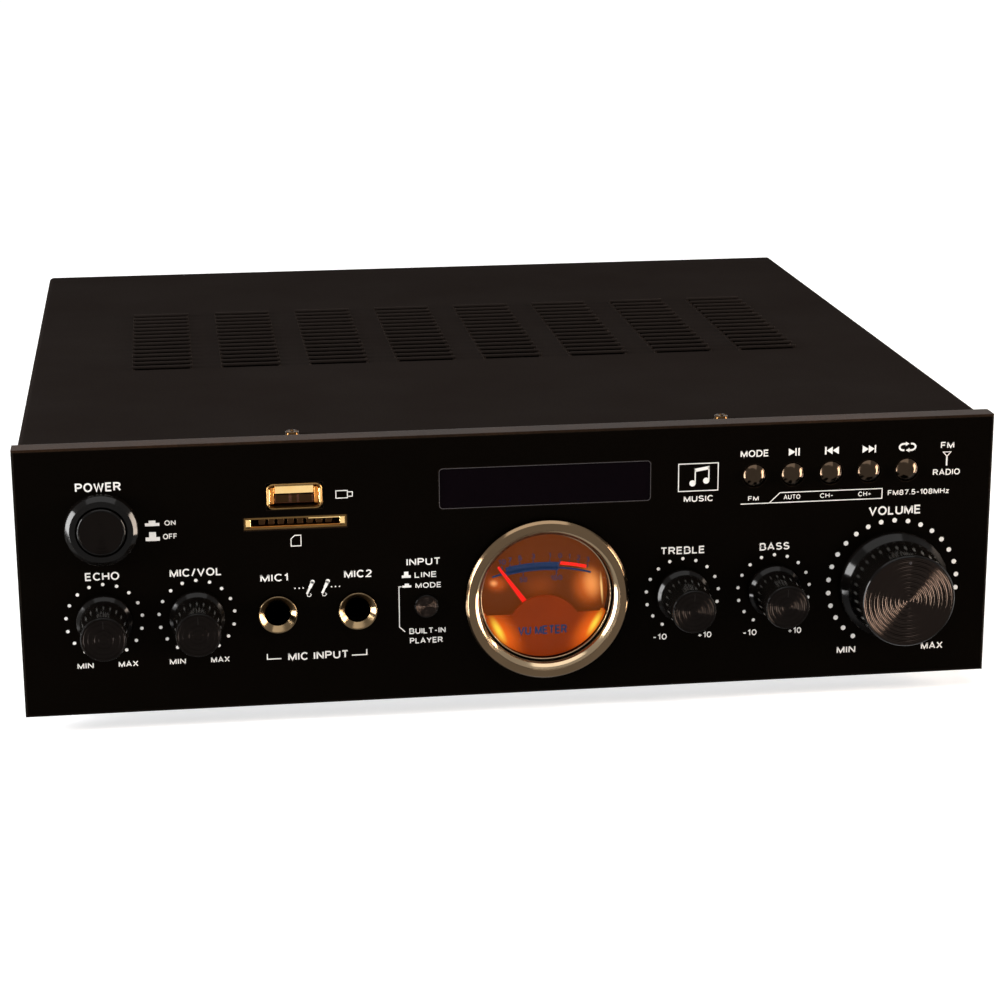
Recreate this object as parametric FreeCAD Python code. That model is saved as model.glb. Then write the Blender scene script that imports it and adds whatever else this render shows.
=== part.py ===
import FreeCAD, Part
import math
import os

# A compact karaoke amplifier: a glossy moulded front panel with knobs, buttons, microphone
# jacks and a level meter, on a steel tray under a louvred steel cover.
#
# Everything is modelled in the panel's frame, in millimetres: x to the right and z up from
# the middle of the panel's lower front edge, y backwards from the panel's front face.
# The finished pieces are then moved so that the origin lies on the floor under the middle
# of the whole object.

# Front panel. The places of what it carries are shares of its width, from its middle, and of
# its height, from its lower edge.
PANEL_WIDTH = 260.0
PANEL_HEIGHT = 72.4
PANEL_DEPTH = 6.3
PANEL_WALL = 3.0
PANEL_RIM = 2.2
PANEL_CHAMFER = 0.5
HOOK_WIDTH = 7.0
HOOK_THICKNESS = 1.6
HOOK_NOSE = 1.0
HOOK_LEAD = 2.4
HOOK_SIDE_GAP = 8.5
HOOK_INSET = 5.0

# Sheet steel cabinet
CABINET_DEPTH = 244.0
SHEET = 1.0
BEND_RADIUS = 1.6
COVER_SIDE_STEP = 0.93
COVER_TOP_STEP = 1.4
BASE_RISE = 1.4
SHEET_GAP = 0.15
FLANGE = 12.0
SIDE_LIP = 12.0

# Stamped louvres in the cover
LOUVRE_COLUMNS = 8
LOUVRE_ROWS = 15
LOUVRE_WIDTH = 17.5
LOUVRE_LENGTH = 3.4
LOUVRE_RISE = 1.3
LOUVRE_SKIN = 0.6
LOUVRE_COLUMN_PITCH = 0.099808 * PANEL_WIDTH
LOUVRE_ROW_PITCH = 5.5
LOUVRE_START = PANEL_DEPTH + 0.36967 * CABINET_DEPTH

# Fits: pieces fixed to each other, pieces that turn or slide, and holes that just clear
SEAT_FIT = 0.05
RUNNING_FIT = 0.05
HOLE_PLAY = 0.4
STOP_PLAY = 0.3

# Feet
FLOOR_GAP = 5.0
FOOT_RADIUS = 8.0
FOOT_TAPER = 0.8
FOOT_INSET_X = 26.0
FOOT_INSET_Y = 30.0

# Cover screws and inner screws
SCREW_HEAD_RADIUS = 2.75
SCREW_HEAD_HEIGHT = 1.9
COVER_HEAD_HEIGHT = 1.2
SCREW_CROWN_RADIUS = 1.7
HEAD_SIDES = 12
HEAD_TURN = 360 / HEAD_SIDES
SCREW_SHANK_RADIUS = 1.4
SCREW_SHANK_LENGTH = 5.0
COVER_SCREW_X = 0.22154 * PANEL_WIDTH
COVER_SCREW_INSET = 5.2
SIDE_SCREW_RISE = 7.0
SIDE_SCREW_FRONT = 60.0
SIDE_SCREW_BACK = 50.0

# Knobs, shafts and potentiometers
CONTROL_Z = 0.35773 * PANEL_HEIGHT
VOLUME_Z = 0.3605 * PANEL_HEIGHT
ECHO_X = -0.41673 * PANEL_WIDTH
MIC_VOLUME_X = -0.32423 * PANEL_WIDTH
TREBLE_X = 0.17423 * PANEL_WIDTH
BASS_X = 0.27077 * PANEL_WIDTH
VOLUME_X = 0.39769 * PANEL_WIDTH
KNOB_REACH = 16.0
KNOB_GAP = 1.0
KNOB_CHAMFER = 0.5
SMALL_SKIRT_RADIUS = 7.3
SMALL_GRIP_RADIUS = 6.3
SMALL_FACE_RADIUS = 5.95
SMALL_FLARE = 3.4
VOLUME_SKIRT_RADIUS = 15.0
VOLUME_GRIP_RADIUS = 13.1
VOLUME_FACE_RADIUS = 12.7
VOLUME_FLARE = 4.6
VOLUME_DISC_RADIUS = 11.9
VOLUME_DISC_RECESS = 0.35
SKIRT_BAND = 1.1
SHAFT_RADIUS = 3.0
SHAFT_FLAT = 1.5
SHAFT_INSERTION = 11.0
BUSHING_RADIUS = 3.5
BUSHING_REACH = 5.6
NUT_FLATS = 10.0
NUT_THICKNESS = 2.0
SMALL_POT_WIDTH = 9.8
SMALL_POT_HEIGHT = 11.0
SMALL_POT_DEPTH = 6.8
VOLUME_POT_RADIUS = 8.5
VOLUME_POT_DEPTH = 10.0
POT_END_WALL = 1.6
POT_PINS = 3
PIN_WIDTH = 0.8
PIN_PITCH = 2.5

# Microphone jacks
JACK_Z = 0.35359 * PANEL_HEIGHT
JACK_X = (-0.24308 * PANEL_WIDTH, -0.16192 * PANEL_WIDTH)
JACK_BORE_RADIUS = 3.2
JACK_BUSHING_RADIUS = 4.4
JACK_NUT_RADIUS = 5.2
JACK_NUT_FACE_RADIUS = 4.9
JACK_PROUD = 1.3
JACK_BODY = 16.0
JACK_BODY_DEPTH = 26.0
JACK_BORE_DEPTH = 30.0
JACK_PINS = 2

# Push buttons and their switches
INPUT_X = -0.09173 * PANEL_WIDTH
INPUT_Z = 0.35912 * PANEL_HEIGHT
INPUT_RADIUS = 3.15
INPUT_PROUD = 1.0
INPUT_TRAVEL = 2.5
INPUT_STEM = 3.0
INPUT_SWITCH = 8.0
INPUT_SWITCH_DEPTH = 17.0
INPUT_SWITCH_PINS = 3
POWER_X = -0.41538 * PANEL_WIDTH
POWER_Z = 0.70028 * PANEL_HEIGHT
POWER_RADIUS = 6.25
POWER_PROUD = 3.5
POWER_TRAVEL = 3.0
POWER_STEM = 4.0
POWER_SWITCH = 14.0
POWER_SWITCH_DEPTH = 24.0
RING_RADIUS = 9.7
RING_HEIGHT = 3.0
RING_CREST_RADIUS = 8.3
RING_INNER_RADIUS = 7.0
RING_SLEEVE = 1.2
RING_EDGE = 1.0
STEM_IN_SWITCH = 14.0
KEY_MIDDLE_X = 0.32846 * PANEL_WIDTH
KEY_PITCH = 0.040192 * PANEL_WIDTH
KEY_Z = 0.8011 * PANEL_HEIGHT
KEY_RADIUS = 3.2
KEY_DOME_RADIUS = 2.0
KEY_DOME = 0.7
KEY_PROUD = 1.4
KEY_TRAVEL = 0.5
KEY_FLANGE = 8.0
KEY_FLANGE_THICKNESS = 1.0
KEY_STEM = 2.4
KEY_SWITCH = 6.0
KEY_SWITCH_DEPTH = 3.5
KEY_STEM_IN_SWITCH = 1.6

# Level meter
METER_X = 0.03231 * PANEL_WIDTH
METER_Z = 0.3674 * PANEL_HEIGHT
BEZEL_RADIUS = 22.1
BEZEL_HEIGHT = 3.0
BEZEL_EDGE = 1.1
BEZEL_RING_RADIUS = 19.4
BEZEL_LIP_RADIUS = 18.0
LENS_RADIUS = 18.9
LENS_THICKNESS = 1.6
CASE_FLANGE = 43.0
CASE_RADIUS = 19.3
CASE_DEPTH = 20.0
CASE_BACK = 1.5
CASE_STEP = 1.0
DIAL_Y = 6.2
DIAL_RADIUS = 17.5
DIAL_THICKNESS = 0.8
MASK_FRONT = 3.3
MASK_THICKNESS = 0.8
MASK_RIM = 0.8
MASK_EDGE_DROP = 5.6
MASK_HUMP_DROP = 0.4
MASK_HUMP_HALF = 8.8
NEEDLE_PIVOT_DROP = 10.1
NEEDLE_LENGTH = 21.8
NEEDLE_TAIL = 4.0
NEEDLE_WIDTH = 0.8
NEEDLE_TIP = 0.4
NEEDLE_THICKNESS = 0.5
NEEDLE_FRONT = 4.8
NEEDLE_REST_ANGLE = 35.0
NEEDLE_HUB_RADIUS = 1.6
PIVOT_RADIUS = 0.6
MOVEMENT_RADIUS = 5.9
MOVEMENT_FLAT = 5.0
MOVEMENT_DEPTH = 8.0
PIVOT_IN_MOVEMENT = 5.0
LAMP_RADIUS = 2.2
LAMP_LENGTH = 8.0
LAMP_OFFSET_X = 9.5
LAMP_OFFSET_Z = 6.5

# Player: display, flash-drive socket, card slot, and the board that carries them
WINDOW_X = 0.03115 * PANEL_WIDTH
WINDOW_OVER_CASE = 2.5
WINDOW_WIDTH = 56.4
WINDOW_HEIGHT = 10.9
WINDOW_CORNER = 1.0
WINDOW_RECESS = 0.15
WINDOW_FLANGE = 1.8
WINDOW_FLANGE_THICKNESS = 1.2
DISPLAY_INSET = 0.8
SOCKET_X = -0.22308 * PANEL_WIDTH
SOCKET_OVER_SLOT = 7.2
SOCKET_MOUTH_WIDTH = 14.5
SOCKET_MOUTH_HEIGHT = 7.0
SOCKET_INNER_WIDTH = 12.5
SOCKET_INNER_HEIGHT = 5.1
SOCKET_WALL = 0.4
SOCKET_FLARE = 1.2
SOCKET_PROUD = 0.3
TONGUE_WIDTH = 11.1
TONGUE_THICKNESS = 1.84
TONGUE_SETBACK = 2.0
TONGUE_GAP = 0.7
SOCKET_BASE = 3.0
SLOT_X = -0.22269 * PANEL_WIDTH
SLOT_OVER_BOARD_EDGE = 1.45
SLOT_WIDTH = 26.8
SLOT_HEIGHT = 3.3
SLOT_WALL = 0.5
SLOT_DEPTH = 27.0
SLOT_BACK = 1.5
SLOT_RECESS = 0.4
BOARD = 1.6
PLAYER_BOARD_Y = 14.0
PLAYER_BOARD_LEFT = -0.29615 * PANEL_WIDTH
PLAYER_BOARD_TOP_GAP = 3.35
PLAYER_BOARD_CLEARANCE = 1.3
POST = 5.0
POST_X = (-0.11538 * PANEL_WIDTH, 0.18462 * PANEL_WIDTH)
POST_DROP = 3.3
POST_KEY_GAP = 1.2

# Control board
LEG_LENGTH = 0.6
CONTROL_BOARD_HALF = 0.45385 * PANEL_WIDTH
CONTROL_BOARD_FRONT = 9.0
CONTROL_BOARD_BACK = 52.0
NOTCH_PLAY = 2.0

# Transformer
TRANSFORMER_X = -0.31538 * PANEL_WIDTH
TRANSFORMER_REAR_GAP = 65.3
CORE_WIDTH = 57.0
CORE_HEIGHT = 48.0
CORE_STACK = 30.0
CORE_LEG = 19.0
CORE_TAB = 9.0
CORE_TAB_THICKNESS = 1.5
WINDING_BUILD = 9.0

# Main board, heatsink, chips and capacitors
MAIN_BOARD_X = (-0.14615 * PANEL_WIDTH, 0.45385 * PANEL_WIDTH)
MAIN_BOARD_FRONT = PANEL_DEPTH + 0.4332 * CABINET_DEPTH
MAIN_BOARD_REAR_GAP = 18.3
STANDOFF_HEIGHT = 8.0
STANDOFF_FLATS = 6.0
STANDOFF_INSET = 6.0
HEATSINK_X = (0.0, 0.38462 * PANEL_WIDTH)
HEATSINK_HEIGHT = 42.0
HEATSINK_BASE = 4.0
HEATSINK_DEPTH = 20.0
HEATSINK_BACK = 4.0
FIN_COUNT = 9
FIN_THICKNESS = 1.8
CHIP_COUNT = 2
CHIP_WIDTH = 20.0
CHIP_HEIGHT = 11.0
CHIP_THICKNESS = 4.5
CHIP_RISE = 7.0
CHIP_PINS = 5
CAPACITOR_RADIUS = 9.0
CAPACITOR_HEIGHT = 32.0
CAPACITOR_X = (-0.07692 * PANEL_WIDTH, 0.00769 * PANEL_WIDTH)
CAPACITOR_Y = PANEL_DEPTH + 0.58893 * CABINET_DEPTH

# Rear panel and its connectors
VENT_COUNT = 12
VENT_WIDTH = 2.6
VENT_HEIGHT = 0.35912 * PANEL_HEIGHT
VENT_PITCH = 8.0
VENT_X = 0.13077 * PANEL_WIDTH
VENT_TOP_GAP = 2.85
BLOCK_X = 0.25385 * PANEL_WIDTH
BLOCK_Z = 0.33149 * PANEL_HEIGHT
BLOCK_WIDTH = 74.0
BLOCK_HEIGHT = 26.0
BLOCK_PLATE = 2.0
BLOCK_DEPTH = 13.0
BLOCK_MARGIN = 2.0
LEVER_PITCH = 16.5
LEVER_WIDTH = 11.0
LEVER_PLAY = 0.1
LEVER_RADIUS = 1.6
LEVER_REACH = 7.0
LEVER_PIVOT_DEPTH = 7.0
LEVER_PIVOT_RISE = 4.0
LEVER_LIP = 1.6
LEVER_TRAVEL = 15.0
WIRE_HOLE_RADIUS = 1.7
WIRE_HOLE_DROP = 6.0
WIRE_HOLE_DEPTH = 9.0
PHONO_X = -0.02308 * PANEL_WIDTH
PHONO_Z = 0.33149 * PANEL_HEIGHT
PHONO_PITCH = 14.0
PHONO_RADIUS = 4.15
PHONO_REACH = 8.5
PHONO_BORE_RADIUS = 1.6
PHONO_BLOCK = 12.0
PHONO_BLOCK_DEPTH = 10.0
INLET_X = -0.37692 * PANEL_WIDTH
INLET_Z = 0.30387 * PANEL_HEIGHT
INLET_WIDTH = 15.3
INLET_HEIGHT = 8.6
INLET_CORNER = 2.87
INLET_WALL = 2.2
INLET_DEPTH = 10.0
INLET_FLANGE = 3.0
INLET_FLANGE_THICKNESS = 1.6
INLET_PIN_RADIUS = 1.2
INLET_PIN_SPACING = 8.6
INLET_PIN_LENGTH = 9.0

# How nearly an edge must run along a direction, and lie at a height, to be picked
PARALLEL = 0.99
TOUCH = 0.01

# Places that follow from the sizes above
REAR = PANEL_DEPTH + CABINET_DEPTH
WALL_BACK = PANEL_DEPTH + SHEET
COVER_HALF = PANEL_WIDTH / 2 - COVER_SIDE_STEP
COVER_TOP = PANEL_HEIGHT - COVER_TOP_STEP
TRAY_HALF = COVER_HALF - SHEET - SHEET_GAP
TRAY_TOP = COVER_TOP - SHEET - SHEET_GAP
TRAY_FLOOR = BASE_RISE + SHEET
BUSHING_FRONT = WALL_BACK - BUSHING_REACH
CONTROL_BOARD_TOP = min(VOLUME_Z - VOLUME_POT_RADIUS, JACK_Z - JACK_BODY / 2) - LEG_LENGTH
MAIN_BOARD_BOTTOM = TRAY_FLOOR + STANDOFF_HEIGHT
MAIN_BOARD_TOP = MAIN_BOARD_BOTTOM + BOARD
MAIN_BOARD_Y = (MAIN_BOARD_FRONT, REAR - MAIN_BOARD_REAR_GAP)
TRANSFORMER_Y = REAR - TRANSFORMER_REAR_GAP
PLAYER_BOARD_BOTTOM = METER_Z + CASE_RADIUS + PLAYER_BOARD_CLEARANCE
PLAYER_BOARD_TOP = TRAY_TOP - PLAYER_BOARD_TOP_GAP
POST_Z = PLAYER_BOARD_TOP - POST_DROP
SLOT_Z = PLAYER_BOARD_BOTTOM + SLOT_OVER_BOARD_EDGE + SLOT_HEIGHT / 2
SOCKET_Z = SLOT_Z + SOCKET_OVER_SLOT
WINDOW_BOTTOM = METER_Z + CASE_FLANGE / 2 + WINDOW_OVER_CASE + WINDOW_FLANGE
WINDOW_Z = WINDOW_BOTTOM + WINDOW_HEIGHT / 2
HOOK_X = PANEL_WIDTH / 2 - HOOK_SIDE_GAP
MASK_EDGE_Z = METER_Z - MASK_EDGE_DROP
MASK_HUMP_Z = METER_Z - MASK_HUMP_DROP
NEEDLE_PIVOT_Z = METER_Z - NEEDLE_PIVOT_DROP
VENT_Z = TRAY_TOP - VENT_TOP_GAP - VENT_HEIGHT / 2
LEVER_PIVOT_Y = REAR - LEVER_PIVOT_DEPTH
LEVER_PIVOT_Z = BLOCK_Z + LEVER_PIVOT_RISE
CASE_BORE_RADIUS = DIAL_RADIUS + SEAT_FIT
CASE_INNER_RADIUS = DIAL_RADIUS - CASE_STEP
DIAL_BACK = DIAL_Y + DIAL_THICKNESS
ORIGIN_Y = (REAR + PHONO_REACH - KNOB_REACH) / 2

KNOBS = {
    "echo": ECHO_X,
    "mic_volume": MIC_VOLUME_X,
    "treble": TREBLE_X,
    "bass": BASS_X,
}
KEYS = ("mode", "play", "previous", "next", "repeat")
LEVERS = ("left_positive", "left_negative", "right_positive", "right_negative")


def point(x, y, z):
    return FreeCAD.Vector(x, y, z)


def box(x_range, y_range, z_range):
    """A block between two x, two y and two z values."""
    low = point(x_range[0], y_range[0], z_range[0])
    size = (x_range[1] - x_range[0], y_range[1] - y_range[0], z_range[1] - z_range[0])
    return Part.makeBox(*size, low)


def around(centre, width):
    """The two values that lie half a width on either side of a centre."""
    return (centre - width / 2, centre + width / 2)


def rod(x, z, radius, y_range):
    """A cylinder along y."""
    length = y_range[1] - y_range[0]
    return Part.makeCylinder(radius, length, point(x, y_range[0], z), point(0, 1, 0))


def pillar(x, y, radius, z_range):
    """A cylinder along z."""
    length = z_range[1] - z_range[0]
    return Part.makeCylinder(radius, length, point(x, y, z_range[0]))


def prism(sides, flats, start, direction, length):
    """A regular prism from a start point, measured across its flats."""
    corner = flats / 2 / math.cos(math.pi / sides)
    turns = [2 * math.pi * (index + 0.5) / sides for index in range(sides)]
    corners = [point(corner * math.cos(turn), corner * math.sin(turn), 0) for turn in turns]
    solid = Part.Face(Part.makePolygon(corners + corners[:1])).extrude(point(0, 0, length))
    solid.Placement = FreeCAD.Placement(start, FreeCAD.Rotation(point(0, 0, 1), direction))
    return solid


def shank(start, direction, length, play=0.0):
    """A screw's shank, or with some play the hole for it, drawn with eight sides."""
    return prism(8, 2 * (SCREW_SHANK_RADIUS + play), start, direction, length)


def turned(x, z, profile):
    """A body of revolution about the line along y through x, z, from (radius, y) points."""
    corners = [point(x + radius, y, z) for radius, y in profile]
    face = Part.Face(Part.makePolygon(corners + corners[:1]))
    return face.revolve(point(x, 0, z), point(0, 1, 0), 360)


def pushed_along_x(outline, x_range):
    """A prism along x, from (y, z) points."""
    corners = [point(x_range[0], y, z) for y, z in outline]
    face = Part.Face(Part.makePolygon(corners + corners[:1]))
    return face.extrude(point(x_range[1] - x_range[0], 0, 0))


def pushed_along_y(outline, y_range):
    """A prism along y, from (x, z) points."""
    corners = [point(x, y_range[0], z) for x, z in outline]
    face = Part.Face(Part.makePolygon(corners + corners[:1]))
    return face.extrude(point(0, y_range[1] - y_range[0], 0))


def rounded_along_y(solid, radius):
    """The same solid with its edges along y rounded."""
    edges = [edge for edge in solid.Edges if abs(edge.tangentAt(edge.FirstParameter).y) > PARALLEL]
    return solid.makeFillet(radius, edges)


def d_section(x, z, radius, flat, y_range):
    """A round rod along y with one flat side on top, at the given height over its axis."""
    keep = box(around(x, 2 * radius), y_range, (z - radius, z + flat))
    return rod(x, z, radius, y_range).common(keep)


def joined(solids):
    first, *rest = solids
    return first.fuse(rest).removeSplitter() if rest else first


def without(solid, tools):
    return solid.cut(tools)


# Front panel


def panel_hook(x, z_edge, direction):
    """A snap hook that reaches through the tray's front wall and catches its back."""
    catch = WALL_BACK + SEAT_FIT
    outline = [
        (PANEL_WALL, z_edge),
        (catch, z_edge),
        (catch, z_edge + direction * HOOK_NOSE),
        (catch + HOOK_LEAD, z_edge),
        (catch + HOOK_LEAD, z_edge - direction * HOOK_THICKNESS),
        (PANEL_WALL, z_edge - direction * HOOK_THICKNESS),
    ]
    return pushed_along_x(outline, around(x, HOOK_WIDTH))


def hook_places():
    """x, edge height and direction of the nose of each snap hook."""
    for x in (-HOOK_X, HOOK_X):
        yield x, TRAY_TOP - HOOK_INSET, 1
        yield x, BASE_RISE + HOOK_INSET, -1


def hook_slots():
    for x, z_edge, direction in hook_places():
        outer = z_edge + direction * (HOOK_NOSE + HOLE_PLAY)
        inner = z_edge - direction * (HOOK_THICKNESS + SEAT_FIT)
        width = HOOK_WIDTH + 2 * SEAT_FIT
        yield box(around(x, width), (PANEL_DEPTH, WALL_BACK), sorted((outer, inner)))


def board_posts():
    """Square moulded posts that reach through the tray's wall to the player board."""
    for x in post_places():
        yield box(around(x, POST), (PANEL_WALL, PLAYER_BOARD_Y), around(POST_Z, POST))


def last_post_x():
    """The right-hand post stands just beyond the last key's flange."""
    return key_places()[-1] + KEY_FLANGE / 2 + POST_KEY_GAP + POST / 2


def post_places():
    return (PLAYER_BOARD_LEFT + POST, *POST_X, last_post_x())


def window_opening(play):
    block = box(
        around(WINDOW_X, WINDOW_WIDTH + 2 * play),
        (0, PANEL_WALL),
        around(WINDOW_Z, WINDOW_HEIGHT + 2 * play),
    )
    return rounded_along_y(block, WINDOW_CORNER)


def key_places():
    """The x of each of the five small buttons, from left to right."""
    middle = (len(KEYS) - 1) / 2
    return [KEY_MIDDLE_X + (index - middle) * KEY_PITCH for index in range(len(KEYS))]


def panel_openings():
    through = (0, PANEL_WALL)
    for x in KNOBS.values():
        yield rod(x, CONTROL_Z, BUSHING_RADIUS + HOLE_PLAY, through)
    yield rod(VOLUME_X, VOLUME_Z, BUSHING_RADIUS + HOLE_PLAY, through)
    for x in JACK_X:
        yield rod(x, JACK_Z, JACK_BUSHING_RADIUS + SEAT_FIT, through)
    for x in key_places():
        yield rod(x, KEY_Z, KEY_RADIUS + RUNNING_FIT, through)
    yield rod(INPUT_X, INPUT_Z, INPUT_RADIUS + RUNNING_FIT, through)
    yield rod(POWER_X, POWER_Z, ring_sleeve_radius() + SEAT_FIT, through)
    yield rod(METER_X, METER_Z, LENS_RADIUS + SEAT_FIT, through)
    yield window_opening(SEAT_FIT)
    socket_width = around(SOCKET_X, SOCKET_MOUTH_WIDTH + 2 * SEAT_FIT)
    yield box(socket_width, through, around(SOCKET_Z, SOCKET_MOUTH_HEIGHT + 2 * SEAT_FIT))
    slot_width = around(SLOT_X, SLOT_WIDTH + 2 * SEAT_FIT)
    yield box(slot_width, through, around(SLOT_Z, SLOT_HEIGHT + 2 * SEAT_FIT))


def front_panel():
    block = box(around(0, PANEL_WIDTH), (0, PANEL_DEPTH), (0, PANEL_HEIGHT))
    front_edges = [edge for edge in block.Edges if edge.BoundBox.YMax < PANEL_CHAMFER]
    block = block.makeChamfer(PANEL_CHAMFER, front_edges)
    hollow = box(
        around(0, PANEL_WIDTH - 2 * PANEL_RIM),
        (PANEL_WALL, PANEL_DEPTH),
        (PANEL_RIM, PANEL_HEIGHT - PANEL_RIM),
    )
    shell = without(block, [hollow, *panel_openings()])
    hooks = [panel_hook(*place) for place in hook_places()]
    posts = [without(post, screw_bores_y(PLAYER_BOARD_Y)) for post in board_posts()]
    return joined([shell, *hooks, *posts])


def screw_bores_y(face_y):
    """Pilot holes for the player board's screws, opening at the given face."""
    depth = SCREW_SHANK_LENGTH - BOARD + STOP_PLAY
    back = point(0, 1, 0)
    return [
        shank(point(x, face_y - depth, POST_Z), back, depth + BOARD, SEAT_FIT)
        for x in post_places()
    ]


# Sheet steel cabinet


def chassis_tray():
    floor_back = REAR - SHEET
    section = [
        (-TRAY_HALF, BASE_RISE),
        (TRAY_HALF, BASE_RISE),
        (TRAY_HALF, TRAY_FLOOR + SIDE_LIP),
        (TRAY_HALF - SHEET, TRAY_FLOOR + SIDE_LIP),
        (TRAY_HALF - SHEET, TRAY_FLOOR),
        (SHEET - TRAY_HALF, TRAY_FLOOR),
        (SHEET - TRAY_HALF, TRAY_FLOOR + SIDE_LIP),
        (-TRAY_HALF, TRAY_FLOOR + SIDE_LIP),
    ]
    base = pushed_along_y(section, (PANEL_DEPTH, floor_back))
    front = [
        (PANEL_DEPTH, BASE_RISE),
        (WALL_BACK, BASE_RISE),
        (WALL_BACK, TRAY_TOP - SHEET),
        (PANEL_DEPTH + FLANGE, TRAY_TOP - SHEET),
        (PANEL_DEPTH + FLANGE, TRAY_TOP),
        (PANEL_DEPTH, TRAY_TOP),
    ]
    wall = pushed_along_x(front, (-TRAY_HALF, TRAY_HALF))
    wall = without(wall, [*wall_openings(), *hook_slots(), *corner_reliefs()])
    up = point(0, 0, 1)
    standoffs = [
        prism(6, STANDOFF_FLATS, point(x, y, TRAY_FLOOR), up, STANDOFF_HEIGHT)
        for x, y in standoff_places()
    ]
    holes = [
        *cover_screw_bores(),
        *board_screw_bores(),
        *transformer_screw_bores(),
        *side_screw_bores(),
    ]
    return without(joined([base, wall, *standoffs]), holes)


def corner_reliefs():
    """The upper corners of the tray and the back, cut off to clear the cover's bends."""
    for side in (-1, 1):
        edge = side * TRAY_HALF
        outline = [
            (edge, TRAY_TOP),
            (edge, TRAY_TOP - BEND_RADIUS),
            (edge - side * BEND_RADIUS, TRAY_TOP),
        ]
        yield pushed_along_y(outline, (PANEL_DEPTH, REAR))


def wall_openings():
    """Openings in the tray's front wall, one for each thing that passes through it."""
    through = (PANEL_DEPTH, WALL_BACK)
    for x in KNOBS.values():
        yield rod(x, CONTROL_Z, BUSHING_RADIUS + SEAT_FIT, through)
    yield rod(VOLUME_X, VOLUME_Z, BUSHING_RADIUS + SEAT_FIT, through)
    for x in JACK_X:
        yield rod(x, JACK_Z, JACK_BUSHING_RADIUS + SEAT_FIT, through)
    yield rod(METER_X, METER_Z, CASE_RADIUS + SEAT_FIT, through)
    input_stem = around(INPUT_X, INPUT_STEM + 2 * HOLE_PLAY)
    yield box(input_stem, through, around(INPUT_Z, INPUT_STEM + 2 * HOLE_PLAY))
    power_stem = around(POWER_X, POWER_STEM + 2 * HOLE_PLAY)
    yield box(power_stem, through, around(POWER_Z, POWER_STEM + 2 * HOLE_PLAY))
    keys = key_places()
    key_window = (keys[0] - KEY_FLANGE / 2, keys[-1] + KEY_FLANGE / 2)
    yield box(key_window, through, around(KEY_Z, KEY_FLANGE))
    display = around(WINDOW_X, WINDOW_WIDTH + 2 * WINDOW_FLANGE)
    yield box(display, through, around(WINDOW_Z, WINDOW_HEIGHT))
    socket = around(SOCKET_X, SOCKET_MOUTH_WIDTH)
    yield box(socket, through, around(SOCKET_Z, SOCKET_MOUTH_HEIGHT))
    slot = around(SLOT_X, SLOT_WIDTH + 2 * SEAT_FIT)
    yield box(slot, through, around(SLOT_Z, SLOT_HEIGHT + 2 * SEAT_FIT))
    for x in post_places():
        post = around(x, POST + 2 * HOLE_PLAY)
        yield box(post, through, around(POST_Z, POST + 2 * HOLE_PLAY))


def rear_panel():
    """The back sheet with a flange at the top for the cover and one at the foot."""
    inner = REAR - SHEET
    section = [
        (REAR, BASE_RISE),
        (REAR, TRAY_TOP),
        (inner - FLANGE, TRAY_TOP),
        (inner - FLANGE, TRAY_TOP - SHEET),
        (inner, TRAY_TOP - SHEET),
        (inner, TRAY_FLOOR + SHEET),
        (inner - FLANGE, TRAY_FLOOR + SHEET),
        (inner - FLANGE, TRAY_FLOOR),
        (inner, TRAY_FLOOR),
        (inner, BASE_RISE),
    ]
    sheet = pushed_along_x(section, (-TRAY_HALF, TRAY_HALF))
    lip_room = [
        box(sorted((side * TRAY_HALF, side * (TRAY_HALF - SHEET - HOLE_PLAY))),
            (inner - FLANGE, inner), (TRAY_FLOOR, TRAY_FLOOR + SHEET))
        for side in (-1, 1)
    ]
    return without(sheet, [*lip_room, *rear_openings(), *corner_reliefs()])


def rear_openings():
    through = (REAR - SHEET, REAR)
    block_width = around(BLOCK_X, BLOCK_WIDTH - 2 * BLOCK_MARGIN + 2 * SEAT_FIT)
    yield box(block_width, through, around(BLOCK_Z, BLOCK_HEIGHT - 2 * BLOCK_MARGIN + 2 * SEAT_FIT))
    inlet_width = around(INLET_X, inlet_shell()[0] + 2 * SEAT_FIT)
    yield box(inlet_width, through, around(INLET_Z, inlet_shell()[1] + 2 * SEAT_FIT))
    for z in phono_places():
        yield rod(PHONO_X, z, PHONO_RADIUS + SEAT_FIT, through)
    middle = (VENT_COUNT - 1) / 2
    for index in range(VENT_COUNT):
        x = VENT_X + (index - middle) * VENT_PITCH
        yield box(around(x, VENT_WIDTH), through, around(VENT_Z, VENT_HEIGHT))


def louvre_places():
    """The x of the middle and the y of the mouth of every louvre."""
    middle = (LOUVRE_COLUMNS - 1) / 2
    for column in range(LOUVRE_COLUMNS):
        for row in range(LOUVRE_ROWS):
            x = (column - middle) * LOUVRE_COLUMN_PITCH
            yield x, LOUVRE_START + row * LOUVRE_ROW_PITCH


def louvre_hood(x, y):
    """The raised part of one louvre: a wedge that is highest at its mouth."""
    outline = [
        (y, COVER_TOP),
        (y, COVER_TOP + LOUVRE_RISE),
        (y + LOUVRE_LENGTH, COVER_TOP),
    ]
    return pushed_along_x(outline, around(x, LOUVRE_WIDTH))


def louvre_passage(x, y):
    """The air passage through one louvre, parallel to its hood and one skin below it."""
    underside = COVER_TOP - SHEET
    drop = LOUVRE_RISE - LOUVRE_SKIN + SHEET
    outline = [
        (y, underside),
        (y, underside + drop),
        (y + drop * LOUVRE_LENGTH / LOUVRE_RISE, underside),
    ]
    return pushed_along_x(outline, around(x, LOUVRE_WIDTH - 2 * LOUVRE_SKIN))


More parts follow.
